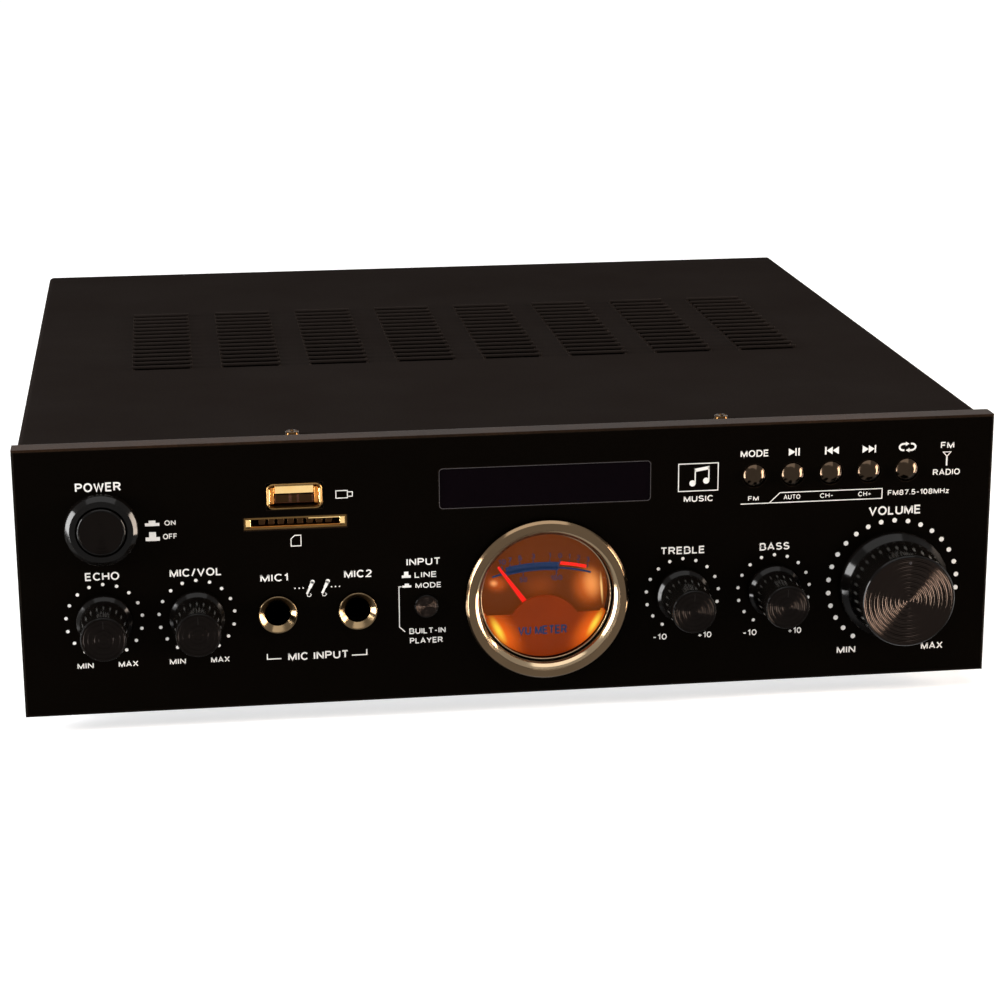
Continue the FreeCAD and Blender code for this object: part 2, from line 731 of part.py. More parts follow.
def top_cover():
    """An inverted U of sheet with rounded bends and eight columns of louvres."""
    outer = box((-COVER_HALF, COVER_HALF), (PANEL_DEPTH, REAR), (BASE_RISE, COVER_TOP))
    inner_half = COVER_HALF - SHEET
    inner = box((-inner_half, inner_half), (PANEL_DEPTH, REAR), (BASE_RISE, COVER_TOP - SHEET))
    sheet = without(bent_over(outer, BEND_RADIUS), [bent_over(inner, BEND_RADIUS - SHEET)])
    hoods = [louvre_hood(x, y) for x, y in louvre_places()]
    passages = [louvre_passage(x, y) for x, y in louvre_places()]
    holes = [*cover_screw_bores(), *side_screw_bores()]
    return without(sheet.fuse(hoods), [*passages, *holes])


def bent_over(block, radius):
    """The block with its two upper edges along y rounded."""
    top = block.BoundBox.ZMax
    edges = [
        edge for edge in block.Edges
        if edge.BoundBox.ZMin > top - TOUCH and edge.BoundBox.YLength > edge.BoundBox.XLength
    ]
    return block.makeFillet(radius, edges)


# Fasteners


def screw(position, direction):
    """A screw with a tapered head on the given point and its shank pointing inwards."""
    head = tapered_head(position, direction)
    start = position - direction * SCREW_SHANK_LENGTH
    return joined([head, shank(start, direction, SCREW_SHANK_LENGTH)])


def tapered_head(position, direction):
    """A twelve-sided head that narrows from its rim to its crown."""
    rings = []
    for radius, height in ((SCREW_HEAD_RADIUS, 0), (SCREW_CROWN_RADIUS, COVER_HEAD_HEIGHT)):
        turns = [math.radians(HEAD_TURN * index) for index in range(HEAD_SIDES)]
        corners = [point(radius * math.cos(turn), radius * math.sin(turn), height) for turn in turns]
        rings.append(Part.makePolygon(corners + corners[:1]))
    head = Part.makeLoft(rings, True, True)
    head.Placement = FreeCAD.Placement(position, FreeCAD.Rotation(point(0, 0, 1), direction))
    return head


def cover_screw_places():
    for x in (-COVER_SCREW_X, COVER_SCREW_X):
        yield x, PANEL_DEPTH + COVER_SCREW_INSET


def cover_screw_bores():
    """Upright holes under the cover's two top screws."""
    for x, y in cover_screw_places():
        start = point(x, y, COVER_TOP - SCREW_SHANK_LENGTH)
        yield shank(start, point(0, 0, 1), SCREW_SHANK_LENGTH, SEAT_FIT)


def side_screw_places():
    for y in (SIDE_SCREW_FRONT, REAR - SIDE_SCREW_BACK):
        for side in (-1, 1):
            yield side, y, TRAY_FLOOR + SIDE_SCREW_RISE


def side_screw_bores():
    for side, y, z in side_screw_places():
        start = point(side * COVER_HALF, y, z)
        yield shank(start, point(-side, 0, 0), SCREW_SHANK_LENGTH, SEAT_FIT)


def cover_screws():
    up = point(0, 0, 1)
    screws = [screw(point(x, y, COVER_TOP), up) for x, y in cover_screw_places()]
    for side, y, z in side_screw_places():
        screws.append(screw(point(side * COVER_HALF, y, z), point(side, 0, 0)))
    return Part.makeCompound(screws)


def inner_screws():
    """Hexagon screws that hold the player board, the main board and the transformer."""
    up = point(0, 0, 1)
    board_back = PLAYER_BOARD_Y + BOARD
    screws = [hexagon_screw(point(x, board_back, POST_Z), point(0, 1, 0)) for x in post_places()]
    screws += [hexagon_screw(point(x, y, MAIN_BOARD_TOP), up) for x, y in standoff_places()]
    tab_top = TRAY_FLOOR + CORE_TAB_THICKNESS
    screws += [hexagon_screw(point(x, y, tab_top), up) for x, y in transformer_screw_places()]
    return Part.makeCompound(screws)


def hexagon_screw(position, direction):
    """Its shank just reaches through a transformer tab and the tray below it."""
    length = SHEET + CORE_TAB_THICKNESS
    head = prism(6, 2 * SCREW_HEAD_RADIUS, position, direction, SCREW_HEAD_HEIGHT)
    return joined([head, shank(position - direction * length, direction, length)])


def feet():
    """Four rubber feet under the tray, a little narrower at the floor."""
    bottom = -FLOOR_GAP
    height = FLOOR_GAP + BASE_RISE
    pads = []
    for x in (FOOT_INSET_X - PANEL_WIDTH / 2, PANEL_WIDTH / 2 - FOOT_INSET_X):
        for y in (PANEL_DEPTH + FOOT_INSET_Y, REAR - FOOT_INSET_Y):
            pads.append(
                Part.makeCone(FOOT_RADIUS - FOOT_TAPER, FOOT_RADIUS, height, point(x, y, bottom))
            )
    return Part.makeCompound(pads)


# Knobs and potentiometers


def knob(x, z, skirt, grip, face, flare):
    """A skirted knob with a tapering grip, bored for a shaft with a flat."""
    back = -KNOB_GAP
    profile = [
        (0, back),
        (skirt, back),
        (skirt, back - SKIRT_BAND),
        (grip, -flare - KNOB_GAP),
        (face, KNOB_CHAMFER - KNOB_REACH),
        (face - KNOB_CHAMFER, -KNOB_REACH),
        (0, -KNOB_REACH),
    ]
    bore = d_section(
        x, z, SHAFT_RADIUS + SEAT_FIT, SHAFT_FLAT + SEAT_FIT, (back - SHAFT_INSERTION, back)
    )
    return without(turned(x, z, profile), [bore])


def small_knob(x):
    return knob(x, CONTROL_Z, SMALL_SKIRT_RADIUS, SMALL_GRIP_RADIUS, SMALL_FACE_RADIUS, SMALL_FLARE)


def volume_knob():
    """The large knob, with a shallow recess for its spun metal disc."""
    body = knob(
        VOLUME_X, VOLUME_Z, VOLUME_SKIRT_RADIUS, VOLUME_GRIP_RADIUS, VOLUME_FACE_RADIUS, VOLUME_FLARE
    )
    recess = rod(VOLUME_X, VOLUME_Z, VOLUME_DISC_RADIUS, (-KNOB_REACH, VOLUME_DISC_RECESS - KNOB_REACH))
    return without(body, [recess])


def shaft(x, z, pot_depth):
    """A shaft that is round in its bushing and has a flat inside the knob."""
    front = SEAT_FIT - KNOB_GAP - SHAFT_INSERTION
    back = WALL_BACK + pot_depth - POT_END_WALL - STOP_PLAY
    flat_end = d_section(x, z, SHAFT_RADIUS, SHAFT_FLAT, (front, -KNOB_GAP))
    return joined([flat_end, rod(x, z, SHAFT_RADIUS, (-KNOB_GAP, back))])


def potentiometer(x, z, body, half_height, depth):
    """A body with a threaded bushing in front, pins to the board, and a bore for its shaft.

    The pins start inside the body, halfway between its bore and its lower side."""
    bushing = rod(x, z, BUSHING_RADIUS, (BUSHING_FRONT, WALL_BACK))
    bore_end = WALL_BACK + depth - POT_END_WALL
    bore = rod(x, z, SHAFT_RADIUS + RUNNING_FIT, (BUSHING_FRONT, bore_end))
    pin_start = z - (SHAFT_RADIUS + half_height) / 2
    pins = pins_down(x, WALL_BACK + depth / 2, pin_start, POT_PINS)
    return without(joined([body, bushing, *pins]), [bore])


def pins_down(x, y, z_from, count):
    """A row of square pins that reach down to the control board."""
    for index in range(count):
        place = x + (index - (count - 1) / 2) * PIN_PITCH
        yield box(around(place, PIN_WIDTH), around(y, PIN_WIDTH), (CONTROL_BOARD_TOP, z_from))


def small_potentiometers():
    pots = []
    for x in KNOBS.values():
        depth = (WALL_BACK, WALL_BACK + SMALL_POT_DEPTH)
        body = box(around(x, SMALL_POT_WIDTH), depth, around(CONTROL_Z, SMALL_POT_HEIGHT))
        pots.append(potentiometer(x, CONTROL_Z, body, SMALL_POT_HEIGHT / 2, SMALL_POT_DEPTH))
    return Part.makeCompound(pots)


def volume_potentiometer():
    body = rod(VOLUME_X, VOLUME_Z, VOLUME_POT_RADIUS, (WALL_BACK, WALL_BACK + VOLUME_POT_DEPTH))
    return potentiometer(VOLUME_X, VOLUME_Z, body, VOLUME_POT_RADIUS, VOLUME_POT_DEPTH)


def potentiometer_nuts():
    """Hexagon nuts that clamp the bushings to the tray's front wall."""
    places = [(x, CONTROL_Z) for x in KNOBS.values()] + [(VOLUME_X, VOLUME_Z)]
    front = PANEL_DEPTH - NUT_THICKNESS
    nuts = []
    for x, z in places:
        hexagon = prism(6, NUT_FLATS, point(x, front, z), point(0, 1, 0), NUT_THICKNESS)
        nuts.append(without(hexagon, [rod(x, z, BUSHING_RADIUS + SEAT_FIT, (front, PANEL_DEPTH))]))
    return Part.makeCompound(nuts)


def control_board():
    """One long board under the controls, notched round the meter's case."""
    depth = (CONTROL_BOARD_FRONT, CONTROL_BOARD_BACK)
    thickness = (CONTROL_BOARD_TOP - BOARD, CONTROL_BOARD_TOP)
    board = box((-CONTROL_BOARD_HALF, CONTROL_BOARD_HALF), depth, thickness)
    notch_width = around(METER_X, 2 * (CASE_RADIUS + NOTCH_PLAY))
    notch = box(notch_width, (CONTROL_BOARD_FRONT, CASE_DEPTH + NOTCH_PLAY), thickness)
    return without(board, [notch])


# Microphone jacks


def mic_jacks():
    jacks = []
    for x in JACK_X:
        back = WALL_BACK + JACK_BODY_DEPTH
        body = box(around(x, JACK_BODY), (WALL_BACK, back), around(JACK_Z, JACK_BODY))
        bushing = rod(x, JACK_Z, JACK_BUSHING_RADIUS, (-JACK_PROUD, WALL_BACK))
        pins = pins_down(x, back - PIN_PITCH, JACK_Z - JACK_BODY / 2, JACK_PINS)
        bore = rod(x, JACK_Z, JACK_BORE_RADIUS, (-JACK_PROUD, JACK_BORE_DEPTH - JACK_PROUD))
        jacks.append(without(joined([body, bushing, *pins]), [bore]))
    return Part.makeCompound(jacks)


def mic_jack_nuts():
    """Round bevelled nuts that clamp the jacks to the panel."""
    inside = JACK_BUSHING_RADIUS + SEAT_FIT
    profile = [
        (inside, 0),
        (JACK_NUT_RADIUS, 0),
        (JACK_NUT_FACE_RADIUS, -JACK_PROUD),
        (inside, -JACK_PROUD),
    ]
    return Part.makeCompound([turned(x, JACK_Z, profile) for x in JACK_X])


# Push buttons and switches


def small_key(x):
    """A bevelled cap with a square flange behind the panel and a stem to its switch."""
    flange_front = PANEL_WALL + RUNNING_FIT
    profile = [
        (0, flange_front),
        (KEY_RADIUS, flange_front),
        (KEY_RADIUS, KEY_DOME - KEY_PROUD),
        (KEY_DOME_RADIUS, -KEY_PROUD),
        (0, -KEY_PROUD),
    ]
    flange_back = flange_front + KEY_FLANGE_THICKNESS
    flange = box(around(x, KEY_FLANGE), (flange_front, flange_back), around(KEY_Z, KEY_FLANGE))
    stem_end = PLAYER_BOARD_Y - KEY_SWITCH_DEPTH + KEY_STEM_IN_SWITCH
    stem = box(around(x, KEY_STEM), (flange_back, stem_end), around(KEY_Z, KEY_STEM))
    return joined([turned(x, KEY_Z, profile), flange, stem])


def key_switches():
    """Five small tactile switches on the front of the player board."""
    front = PLAYER_BOARD_Y - KEY_SWITCH_DEPTH
    bore_end = front + KEY_STEM_IN_SWITCH + KEY_TRAVEL + STOP_PLAY
    bore_width = KEY_STEM + 2 * RUNNING_FIT
    switches = []
    for x in key_places():
        body = box(around(x, KEY_SWITCH), (front, PLAYER_BOARD_Y), around(KEY_Z, KEY_SWITCH))
        bore = box(around(x, bore_width), (front, bore_end), around(KEY_Z, bore_width))
        switches.append(without(body, [bore]))
    return Part.makeCompound(switches)


def push_button(x, z, radius, proud, travel, stem):
    """A round cap that stops short of the tray's wall when pushed, with a square stem."""
    cap_back = PANEL_DEPTH - travel - STOP_PLAY
    cap = rod(x, z, radius, (-proud, cap_back))
    stem_end = WALL_BACK + STEM_IN_SWITCH - travel
    return joined([cap, box(around(x, stem), (cap_back, stem_end), around(z, stem))])


def push_switch(x, z, width, depth, stem):
    """A latching switch behind the tray's wall, with a square hole for the button's stem."""
    body = box(around(x, width), (WALL_BACK, WALL_BACK + depth), around(z, width))
    hole = stem + 2 * RUNNING_FIT
    room = (WALL_BACK, WALL_BACK + STEM_IN_SWITCH + STOP_PLAY)
    return without(body, [box(around(x, hole), room, around(z, hole))])


def input_switch():
    body = push_switch(INPUT_X, INPUT_Z, INPUT_SWITCH, INPUT_SWITCH_DEPTH, INPUT_STEM)
    back = WALL_BACK + INPUT_SWITCH_DEPTH - PIN_PITCH
    return joined([body, *pins_down(INPUT_X, back, INPUT_Z - INPUT_SWITCH / 2, INPUT_SWITCH_PINS)])


def ring_sleeve_radius():
    return POWER_RADIUS + RUNNING_FIT + RING_SLEEVE


def power_button_ring():
    """A raised ring with a sleeve that lines the panel's hole and guides the button."""
    inside = POWER_RADIUS + RUNNING_FIT
    profile = [
        (inside, PANEL_WALL),
        (inside, -RING_EDGE),
        (RING_INNER_RADIUS, -RING_HEIGHT),
        (RING_CREST_RADIUS, -RING_HEIGHT),
        (RING_RADIUS, -RING_EDGE),
        (RING_RADIUS, 0),
        (ring_sleeve_radius(), 0),
        (ring_sleeve_radius(), PANEL_WALL),
    ]
    return turned(POWER_X, POWER_Z, profile)


# Level meter


def meter_bezel():
    """A bright ring on the panel's face, bevelled towards the lens."""
    profile = [
        (BEZEL_LIP_RADIUS, 0),
        (BEZEL_RADIUS, 0),
        (BEZEL_RADIUS, BEZEL_EDGE - BEZEL_HEIGHT),
        (BEZEL_RADIUS - BEZEL_EDGE, -BEZEL_HEIGHT),
        (BEZEL_RING_RADIUS, -BEZEL_HEIGHT),
    ]
    return turned(METER_X, METER_Z, profile)


def meter_lens():
    """A clear disc in the panel's hole, on the front of the case."""
    return rod(METER_X, METER_Z, LENS_RADIUS, (PANEL_WALL - LENS_THICKNESS, PANEL_WALL))


def meter_case():
    """A cup with a square flange that is held between the panel and the tray's wall."""
    flange_width = around(METER_X, CASE_FLANGE)
    flange = box(flange_width, (PANEL_WALL, PANEL_DEPTH), around(METER_Z, CASE_FLANGE))
    cup = rod(METER_X, METER_Z, CASE_RADIUS, (PANEL_DEPTH, CASE_DEPTH))
    hollow = [
        rod(METER_X, METER_Z, CASE_BORE_RADIUS, (PANEL_WALL, DIAL_BACK)),
        rod(METER_X, METER_Z, CASE_INNER_RADIUS, (DIAL_BACK, CASE_DEPTH - CASE_BACK)),
    ]
    return without(joined([flange, cup]), hollow)


def meter_dial():
    plate = rod(METER_X, METER_Z, DIAL_RADIUS, (DIAL_Y, DIAL_BACK))
    hole = rod(METER_X, NEEDLE_PIVOT_Z, PIVOT_RADIUS + HOLE_PLAY, (DIAL_Y, DIAL_BACK))
    return without(plate, [hole])


def mask_outline(y):
    """The area that the mask covers: everything below its edge, and a hump over the pivot."""
    left = point(METER_X - MASK_HUMP_HALF, y, MASK_EDGE_Z)
    right = point(METER_X + MASK_HUMP_HALF, y, MASK_EDGE_Z)
    far_left = point(METER_X - DIAL_RADIUS, y, MASK_EDGE_Z)
    far_right = point(METER_X + DIAL_RADIUS, y, MASK_EDGE_Z)
    low = METER_Z - DIAL_RADIUS
    edges = [
        Part.makeLine(far_left, left),
        Part.Arc(left, point(METER_X, y, MASK_HUMP_Z), right).toShape(),
        Part.makeLine(right, far_right),
        Part.makeLine(far_right, point(METER_X + DIAL_RADIUS, y, low)),
        Part.makeLine(point(METER_X + DIAL_RADIUS, y, low), point(METER_X - DIAL_RADIUS, y, low)),
        Part.makeLine(point(METER_X - DIAL_RADIUS, y, low), far_left),
    ]
    return Part.Face(Part.Wire(edges))


def meter_mask():
    """A plate over the lower half of the dial, standing on it by a rim."""
    back = MASK_FRONT + MASK_THICKNESS
    area = mask_outline(MASK_FRONT).extrude(point(0, MASK_THICKNESS, 0))
    disc = rod(METER_X, METER_Z, DIAL_RADIUS, (MASK_FRONT, back))
    lower = box(around(METER_X, 2 * DIAL_RADIUS), (back, DIAL_Y), (METER_Z - DIAL_RADIUS, MASK_EDGE_Z))
    rim = rod(METER_X, METER_Z, DIAL_RADIUS, (back, DIAL_Y)).common(lower)
    rim = without(rim, [rod(METER_X, METER_Z, DIAL_RADIUS - MASK_RIM, (back, DIAL_Y))])
    return joined([disc.common(area), rim])


def meter_needle():
    """A slim pointer with a tail, a hub and a pivot pin that runs in the movement."""
    back = NEEDLE_FRONT + NEEDLE_THICKNESS
    outline = [
        (-NEEDLE_WIDTH / 2, -NEEDLE_TAIL),
        (NEEDLE_WIDTH / 2, -NEEDLE_TAIL),
        (NEEDLE_WIDTH / 2, 0),
        (NEEDLE_TIP / 2, NEEDLE_LENGTH),
        (-NEEDLE_TIP / 2, NEEDLE_LENGTH),
        (-NEEDLE_WIDTH / 2, 0),
    ]
    pointer = pushed_along_y(outline, (NEEDLE_FRONT, back))
    hub = rod(0, 0, NEEDLE_HUB_RADIUS, (NEEDLE_FRONT, back))
    pin = rod(0, 0, PIVOT_RADIUS, (NEEDLE_FRONT, DIAL_BACK + PIVOT_IN_MOVEMENT))
    needle = joined([pointer, hub, pin])
    needle.rotate(point(0, 0, 0), point(0, 1, 0), -NEEDLE_REST_ANGLE)
    needle.translate(point(METER_X, 0, NEEDLE_PIVOT_Z))
    return needle


def meter_movement():
    """The magnet block behind the dial, flattened on both sides, bored for the pivot."""
    depth = (DIAL_BACK, DIAL_BACK + MOVEMENT_DEPTH)
    flats = box(around(METER_X, 2 * MOVEMENT_FLAT), depth, around(NEEDLE_PIVOT_Z, 2 * MOVEMENT_RADIUS))
    block = rod(METER_X, NEEDLE_PIVOT_Z, MOVEMENT_RADIUS, depth).common(flats)
    bore_end = DIAL_BACK + PIVOT_IN_MOVEMENT + STOP_PLAY
    return without(block, [rod(METER_X, NEEDLE_PIVOT_Z, PIVOT_RADIUS + RUNNING_FIT, (DIAL_BACK, bore_end))])


def meter_lamps():
    """Two bulbs on the inside of the case's back."""
    back = CASE_DEPTH - CASE_BACK
    z = METER_Z + LAMP_OFFSET_Z
    places = around(METER_X, 2 * LAMP_OFFSET_X)
    return Part.makeCompound([rod(x, z, LAMP_RADIUS, (back - LAMP_LENGTH, back)) for x in places])


# Player


def display_window():
    """A dark clear window, flanged behind the panel's wall."""
    pane = window_opening(0)
    pane = without(pane, [box(around(WINDOW_X, PANEL_WIDTH), (0, WINDOW_RECESS), (0, PANEL_HEIGHT))])
    flange = box(
        around(WINDOW_X, WINDOW_WIDTH + 2 * WINDOW_FLANGE),
        (PANEL_WALL, PANEL_WALL + WINDOW_FLANGE_THICKNESS),
        around(WINDOW_Z, WINDOW_HEIGHT + 2 * WINDOW_FLANGE),
    )
    return joined([pane, flange])


def display_module():
    return box(
        around(WINDOW_X, WINDOW_WIDTH - 2 * DISPLAY_INSET),
        (PANEL_WALL + WINDOW_FLANGE_THICKNESS, PLAYER_BOARD_Y),
        around(WINDOW_Z, WINDOW_HEIGHT - 2 * DISPLAY_INSET),
    )


def rectangle(x, y, z, width, height):
    """A closed rectangular wire that faces along y."""
    left, right = around(x, width)
    low, high = around(z, height)
    corners = [(left, low), (right, low), (right, high), (left, high), (left, low)]
    return Part.makePolygon([point(px, y, pz) for px, pz in corners])


def flared_tube(inset):
    """A rectangular tube that widens at its mouth, drawn in by the given wall."""
    flare_end = SOCKET_FLARE - SOCKET_PROUD
    mouth = (SOCKET_MOUTH_WIDTH - 2 * inset, SOCKET_MOUTH_HEIGHT - 2 * inset)
    throat = (
        SOCKET_INNER_WIDTH + 2 * (SOCKET_WALL - inset),
        SOCKET_INNER_HEIGHT + 2 * (SOCKET_WALL - inset),
    )
    wires = [
        rectangle(SOCKET_X, -SOCKET_PROUD, SOCKET_Z, *mouth),
        rectangle(SOCKET_X, flare_end, SOCKET_Z, *throat),
    ]
    flare = Part.makeLoft(wires, True, True)
    tube = box(around(SOCKET_X, throat[0]), (flare_end, PLAYER_BOARD_Y), around(SOCKET_Z, throat[1]))
    return joined([flare, tube])


def flash_drive_socket():
    """A flared steel shell with its contact tongue standing on the base inside."""
    shell = without(flared_tube(0), [flared_tube(SOCKET_WALL)])
    floor = SOCKET_Z - SOCKET_INNER_HEIGHT / 2
    base_front = PLAYER_BOARD_Y - SOCKET_BASE
    base = box(
        around(SOCKET_X, SOCKET_INNER_WIDTH),
        (base_front, PLAYER_BOARD_Y),
        around(SOCKET_Z, SOCKET_INNER_HEIGHT),
    )
    tongue = box(
        around(SOCKET_X, TONGUE_WIDTH),
        (TONGUE_SETBACK, base_front),
        (floor + TONGUE_GAP, floor + TONGUE_GAP + TONGUE_THICKNESS),
    )
    return joined([shell, base, tongue])


def memory_card_slot():
    """A flat metal sleeve, open at the panel and closed at its back."""
    depth = (SLOT_RECESS, SLOT_DEPTH)
    sleeve = box(around(SLOT_X, SLOT_WIDTH), depth, around(SLOT_Z, SLOT_HEIGHT))
    room = box(
        around(SLOT_X, SLOT_WIDTH - 2 * SLOT_WALL),
        (SLOT_RECESS, SLOT_DEPTH - SLOT_BACK),
        around(SLOT_Z, SLOT_HEIGHT - 2 * SLOT_WALL),
    )
    return without(sleeve, [room])


def player_board():
    """An upright board behind the panel that carries display, sockets and key switches."""
    depth = (PLAYER_BOARD_Y, PLAYER_BOARD_Y + BOARD)
    width = (PLAYER_BOARD_LEFT, last_post_x() + POST)
    board = box(width, depth, (PLAYER_BOARD_BOTTOM, PLAYER_BOARD_TOP))
    slot_width = around(SLOT_X, SLOT_WIDTH + 2 * SEAT_FIT)
    slot = box(slot_width, depth, around(SLOT_Z, SLOT_HEIGHT + 2 * SEAT_FIT))
    return without(board, [slot, *screw_bores_y(PLAYER_BOARD_Y)])


# Transformer


def core_outline(inset=0.0):
    """The x of both sides of the core, drawn in by the given amount."""
    return around(TRANSFORMER_X, CORE_WIDTH - 2 * inset)


def transformer_core():
    """E and I laminations with two windows, on a strap with a screw tab at each end."""
    base = TRAY_FLOOR + CORE_TAB_THICKNESS
    depth = around(TRANSFORMER_Y, CORE_STACK)
    block = box(core_outline(), depth, (base, base + CORE_HEIGHT))
    strap_width = (core_outline()[0] - CORE_TAB, core_outline()[1] + CORE_TAB)
    strap = box(strap_width, depth, (TRAY_FLOOR, base))
    windows = [box(sides, depth, window_height()) for sides in window_sides()]
    return without(joined([block, strap]), [*windows, *transformer_screw_bores()])


def window_height():
    base = TRAY_FLOOR + CORE_TAB_THICKNESS
    return (base + CORE_LEG / 2, base + CORE_HEIGHT - CORE_LEG / 2)


def window_sides():
    """The x range of each winding window, between the middle leg and an outer leg."""
    left, right = core_outline(CORE_LEG / 2)
    middle = around(TRANSFORMER_X, CORE_LEG)
    return [(left, middle[0]), (middle[1], right)]


def transformer_winding():
    """The wound bobbin round the middle leg."""
    low, high = window_height()
    height = (low + SEAT_FIT, high - SEAT_FIT)
    left, right = core_outline(CORE_LEG / 2 + SEAT_FIT)
    depth = around(TRANSFORMER_Y, CORE_STACK + 2 * WINDING_BUILD)
    block = rounded_upright(box((left, right), depth, height), WINDING_BUILD / 2)
    leg = box(
        around(TRANSFORMER_X, CORE_LEG + 2 * SEAT_FIT),
        around(TRANSFORMER_Y, CORE_STACK + 2 * SEAT_FIT),
        height,
    )
    return without(block, [leg])


def rounded_upright(solid, radius):
    """The same solid with its upright edges rounded."""
    edges = [edge for edge in solid.Edges if abs(edge.tangentAt(edge.FirstParameter).z) > PARALLEL]
    return solid.makeFillet(radius, edges)


def transformer_screw_places():
    left, right = core_outline()
    for x in (left - CORE_TAB / 2, right + CORE_TAB / 2):
        yield x, TRANSFORMER_Y


def transformer_screw_bores():
    for x, y in transformer_screw_places():
        length = SHEET + CORE_TAB_THICKNESS
        yield shank(point(x, y, BASE_RISE), point(0, 0, 1), length, SEAT_FIT)


# Main board and what stands on it


def standoff_places():
    for x in (MAIN_BOARD_X[0] + STANDOFF_INSET, MAIN_BOARD_X[1] - STANDOFF_INSET):
        for y in (MAIN_BOARD_Y[0] + STANDOFF_INSET, MAIN_BOARD_Y[1] - STANDOFF_INSET):
            yield x, y


def board_screw_bores():
    for x, y in standoff_places():
        start = point(x, y, TRAY_FLOOR)
        yield shank(start, point(0, 0, 1), STANDOFF_HEIGHT + BOARD, SEAT_FIT)


def main_board():
    board = box(MAIN_BOARD_X, MAIN_BOARD_Y, (MAIN_BOARD_BOTTOM, MAIN_BOARD_TOP))
    return without(board, list(board_screw_bores()))


def heatsink_front():
    return MAIN_BOARD_Y[1] - 2 * STANDOFF_INSET - HEATSINK_BACK - HEATSINK_DEPTH


def heatsink():
    """A finned extrusion that stands on the board with its fins towards the rear panel."""
    front = heatsink_front()
    height = (MAIN_BOARD_TOP, MAIN_BOARD_TOP + HEATSINK_HEIGHT)
    base = box(HEATSINK_X, (front, front + HEATSINK_BASE), height)
    spacing = (HEATSINK_X[1] - HEATSINK_X[0] - FIN_THICKNESS) / (FIN_COUNT - 1)
    fins = []
    for index in range(FIN_COUNT):
        left = HEATSINK_X[0] + index * spacing
        fins.append(box((left, left + FIN_THICKNESS), (front, front + HEATSINK_DEPTH), height))
    return joined([base, *fins])


def amplifier_chips():
    """Power chips against the heatsink, standing on the board by their pins."""
    back = heatsink_front()
    front = back - CHIP_THICKNESS
    share = (HEATSINK_X[1] - HEATSINK_X[0]) / CHIP_COUNT
    chips = []
    for index in range(CHIP_COUNT):
        x = HEATSINK_X[0] + (index + 0.5) * share
        low = MAIN_BOARD_TOP + CHIP_RISE
        body = box(around(x, CHIP_WIDTH), (front, back), (low, low + CHIP_HEIGHT))
        pins = []
        for pin in range(CHIP_PINS):
            place = x + (pin - (CHIP_PINS - 1) / 2) * PIN_PITCH
            middle = (front + back) / 2
            pins.append(box(around(place, PIN_WIDTH), around(middle, PIN_WIDTH), (MAIN_BOARD_TOP, low)))
        chips.append(joined([body, *pins]))
    return Part.makeCompound(chips)


def filter_capacitors():
    height = (MAIN_BOARD_TOP, MAIN_BOARD_TOP + CAPACITOR_HEIGHT)
    return Part.makeCompound([pillar(x, CAPACITOR_Y, CAPACITOR_RADIUS, height) for x in CAPACITOR_X])


# Rear connectors


def lever_places():
    """The x of each terminal lever, seen from the front from left to right."""
    middle = (len(LEVERS) - 1) / 2
    return [BLOCK_X + (index - middle) * LEVER_PITCH for index in range(len(LEVERS))]


def speaker_terminal_block():
    """A flanged block with four lever pockets, each over a wire hole."""
    plate = box(around(BLOCK_X, BLOCK_WIDTH), (REAR, REAR + BLOCK_PLATE), around(BLOCK_Z, BLOCK_HEIGHT))
    body = box(
        around(BLOCK_X, BLOCK_WIDTH - 2 * BLOCK_MARGIN),
        (REAR - BLOCK_DEPTH, REAR),
        around(BLOCK_Z, BLOCK_HEIGHT - 2 * BLOCK_MARGIN),
    )
    pocket_back = LEVER_PIVOT_Y - LEVER_RADIUS - LEVER_PLAY
    face = REAR + BLOCK_PLATE
    drop = (face - LEVER_PIVOT_Y) * math.tan(math.radians(LEVER_TRAVEL)) + LEVER_RADIUS + STOP_PLAY
    low = LEVER_PIVOT_Z - drop
    high = LEVER_PIVOT_Z + LEVER_RADIUS + LEVER_PLAY
    cuts = []
    for x in lever_places():
        cuts.append(box(around(x, LEVER_WIDTH + 2 * LEVER_PLAY), (pocket_back, face), (low, high)))
        cuts.append(rod(x, BLOCK_Z - WIRE_HOLE_DROP, WIRE_HOLE_RADIUS, (face - WIRE_HOLE_DEPTH, face)))
    return without(joined([plate, body]), cuts)


def terminal_lever(x):
    """A flat lever that is rounded at its pivot and has a lip at its outer end."""
    end = LEVER_PIVOT_DEPTH + LEVER_REACH
    outline = [
        (0, -LEVER_RADIUS),
        (end - LEVER_LIP, -LEVER_RADIUS),
        (end - LEVER_LIP, -LEVER_RADIUS - LEVER_LIP / 2),
        (end, -LEVER_RADIUS - LEVER_LIP / 2),
        (end, LEVER_RADIUS),
        (0, LEVER_RADIUS),
    ]
    arm = pushed_along_x(outline, around(x, LEVER_WIDTH))
    start = point(x - LEVER_WIDTH / 2, 0, 0)
    barrel = Part.makeCylinder(LEVER_RADIUS, LEVER_WIDTH, start, point(1, 0, 0))
    lever = joined([arm, barrel])
    lever.translate(point(0, LEVER_PIVOT_Y, LEVER_PIVOT_Z))
    return lever


def phono_places():
    return around(PHONO_Z, PHONO_PITCH)


def phono_jacks():
    """Two phono sockets, one above the other, on a shared insulating block."""
    inner = REAR - SHEET
    height = around(PHONO_Z, PHONO_PITCH + PHONO_BLOCK)
    block = box(around(PHONO_X, PHONO_BLOCK), (inner - PHONO_BLOCK_DEPTH, inner), height)
    shells = [rod(PHONO_X, z, PHONO_RADIUS, (inner, REAR + PHONO_REACH)) for z in phono_places()]
    bores = [rod(PHONO_X, z, PHONO_BORE_RADIUS, (inner, REAR + PHONO_REACH)) for z in phono_places()]
    return without(joined([block, *shells]), bores)


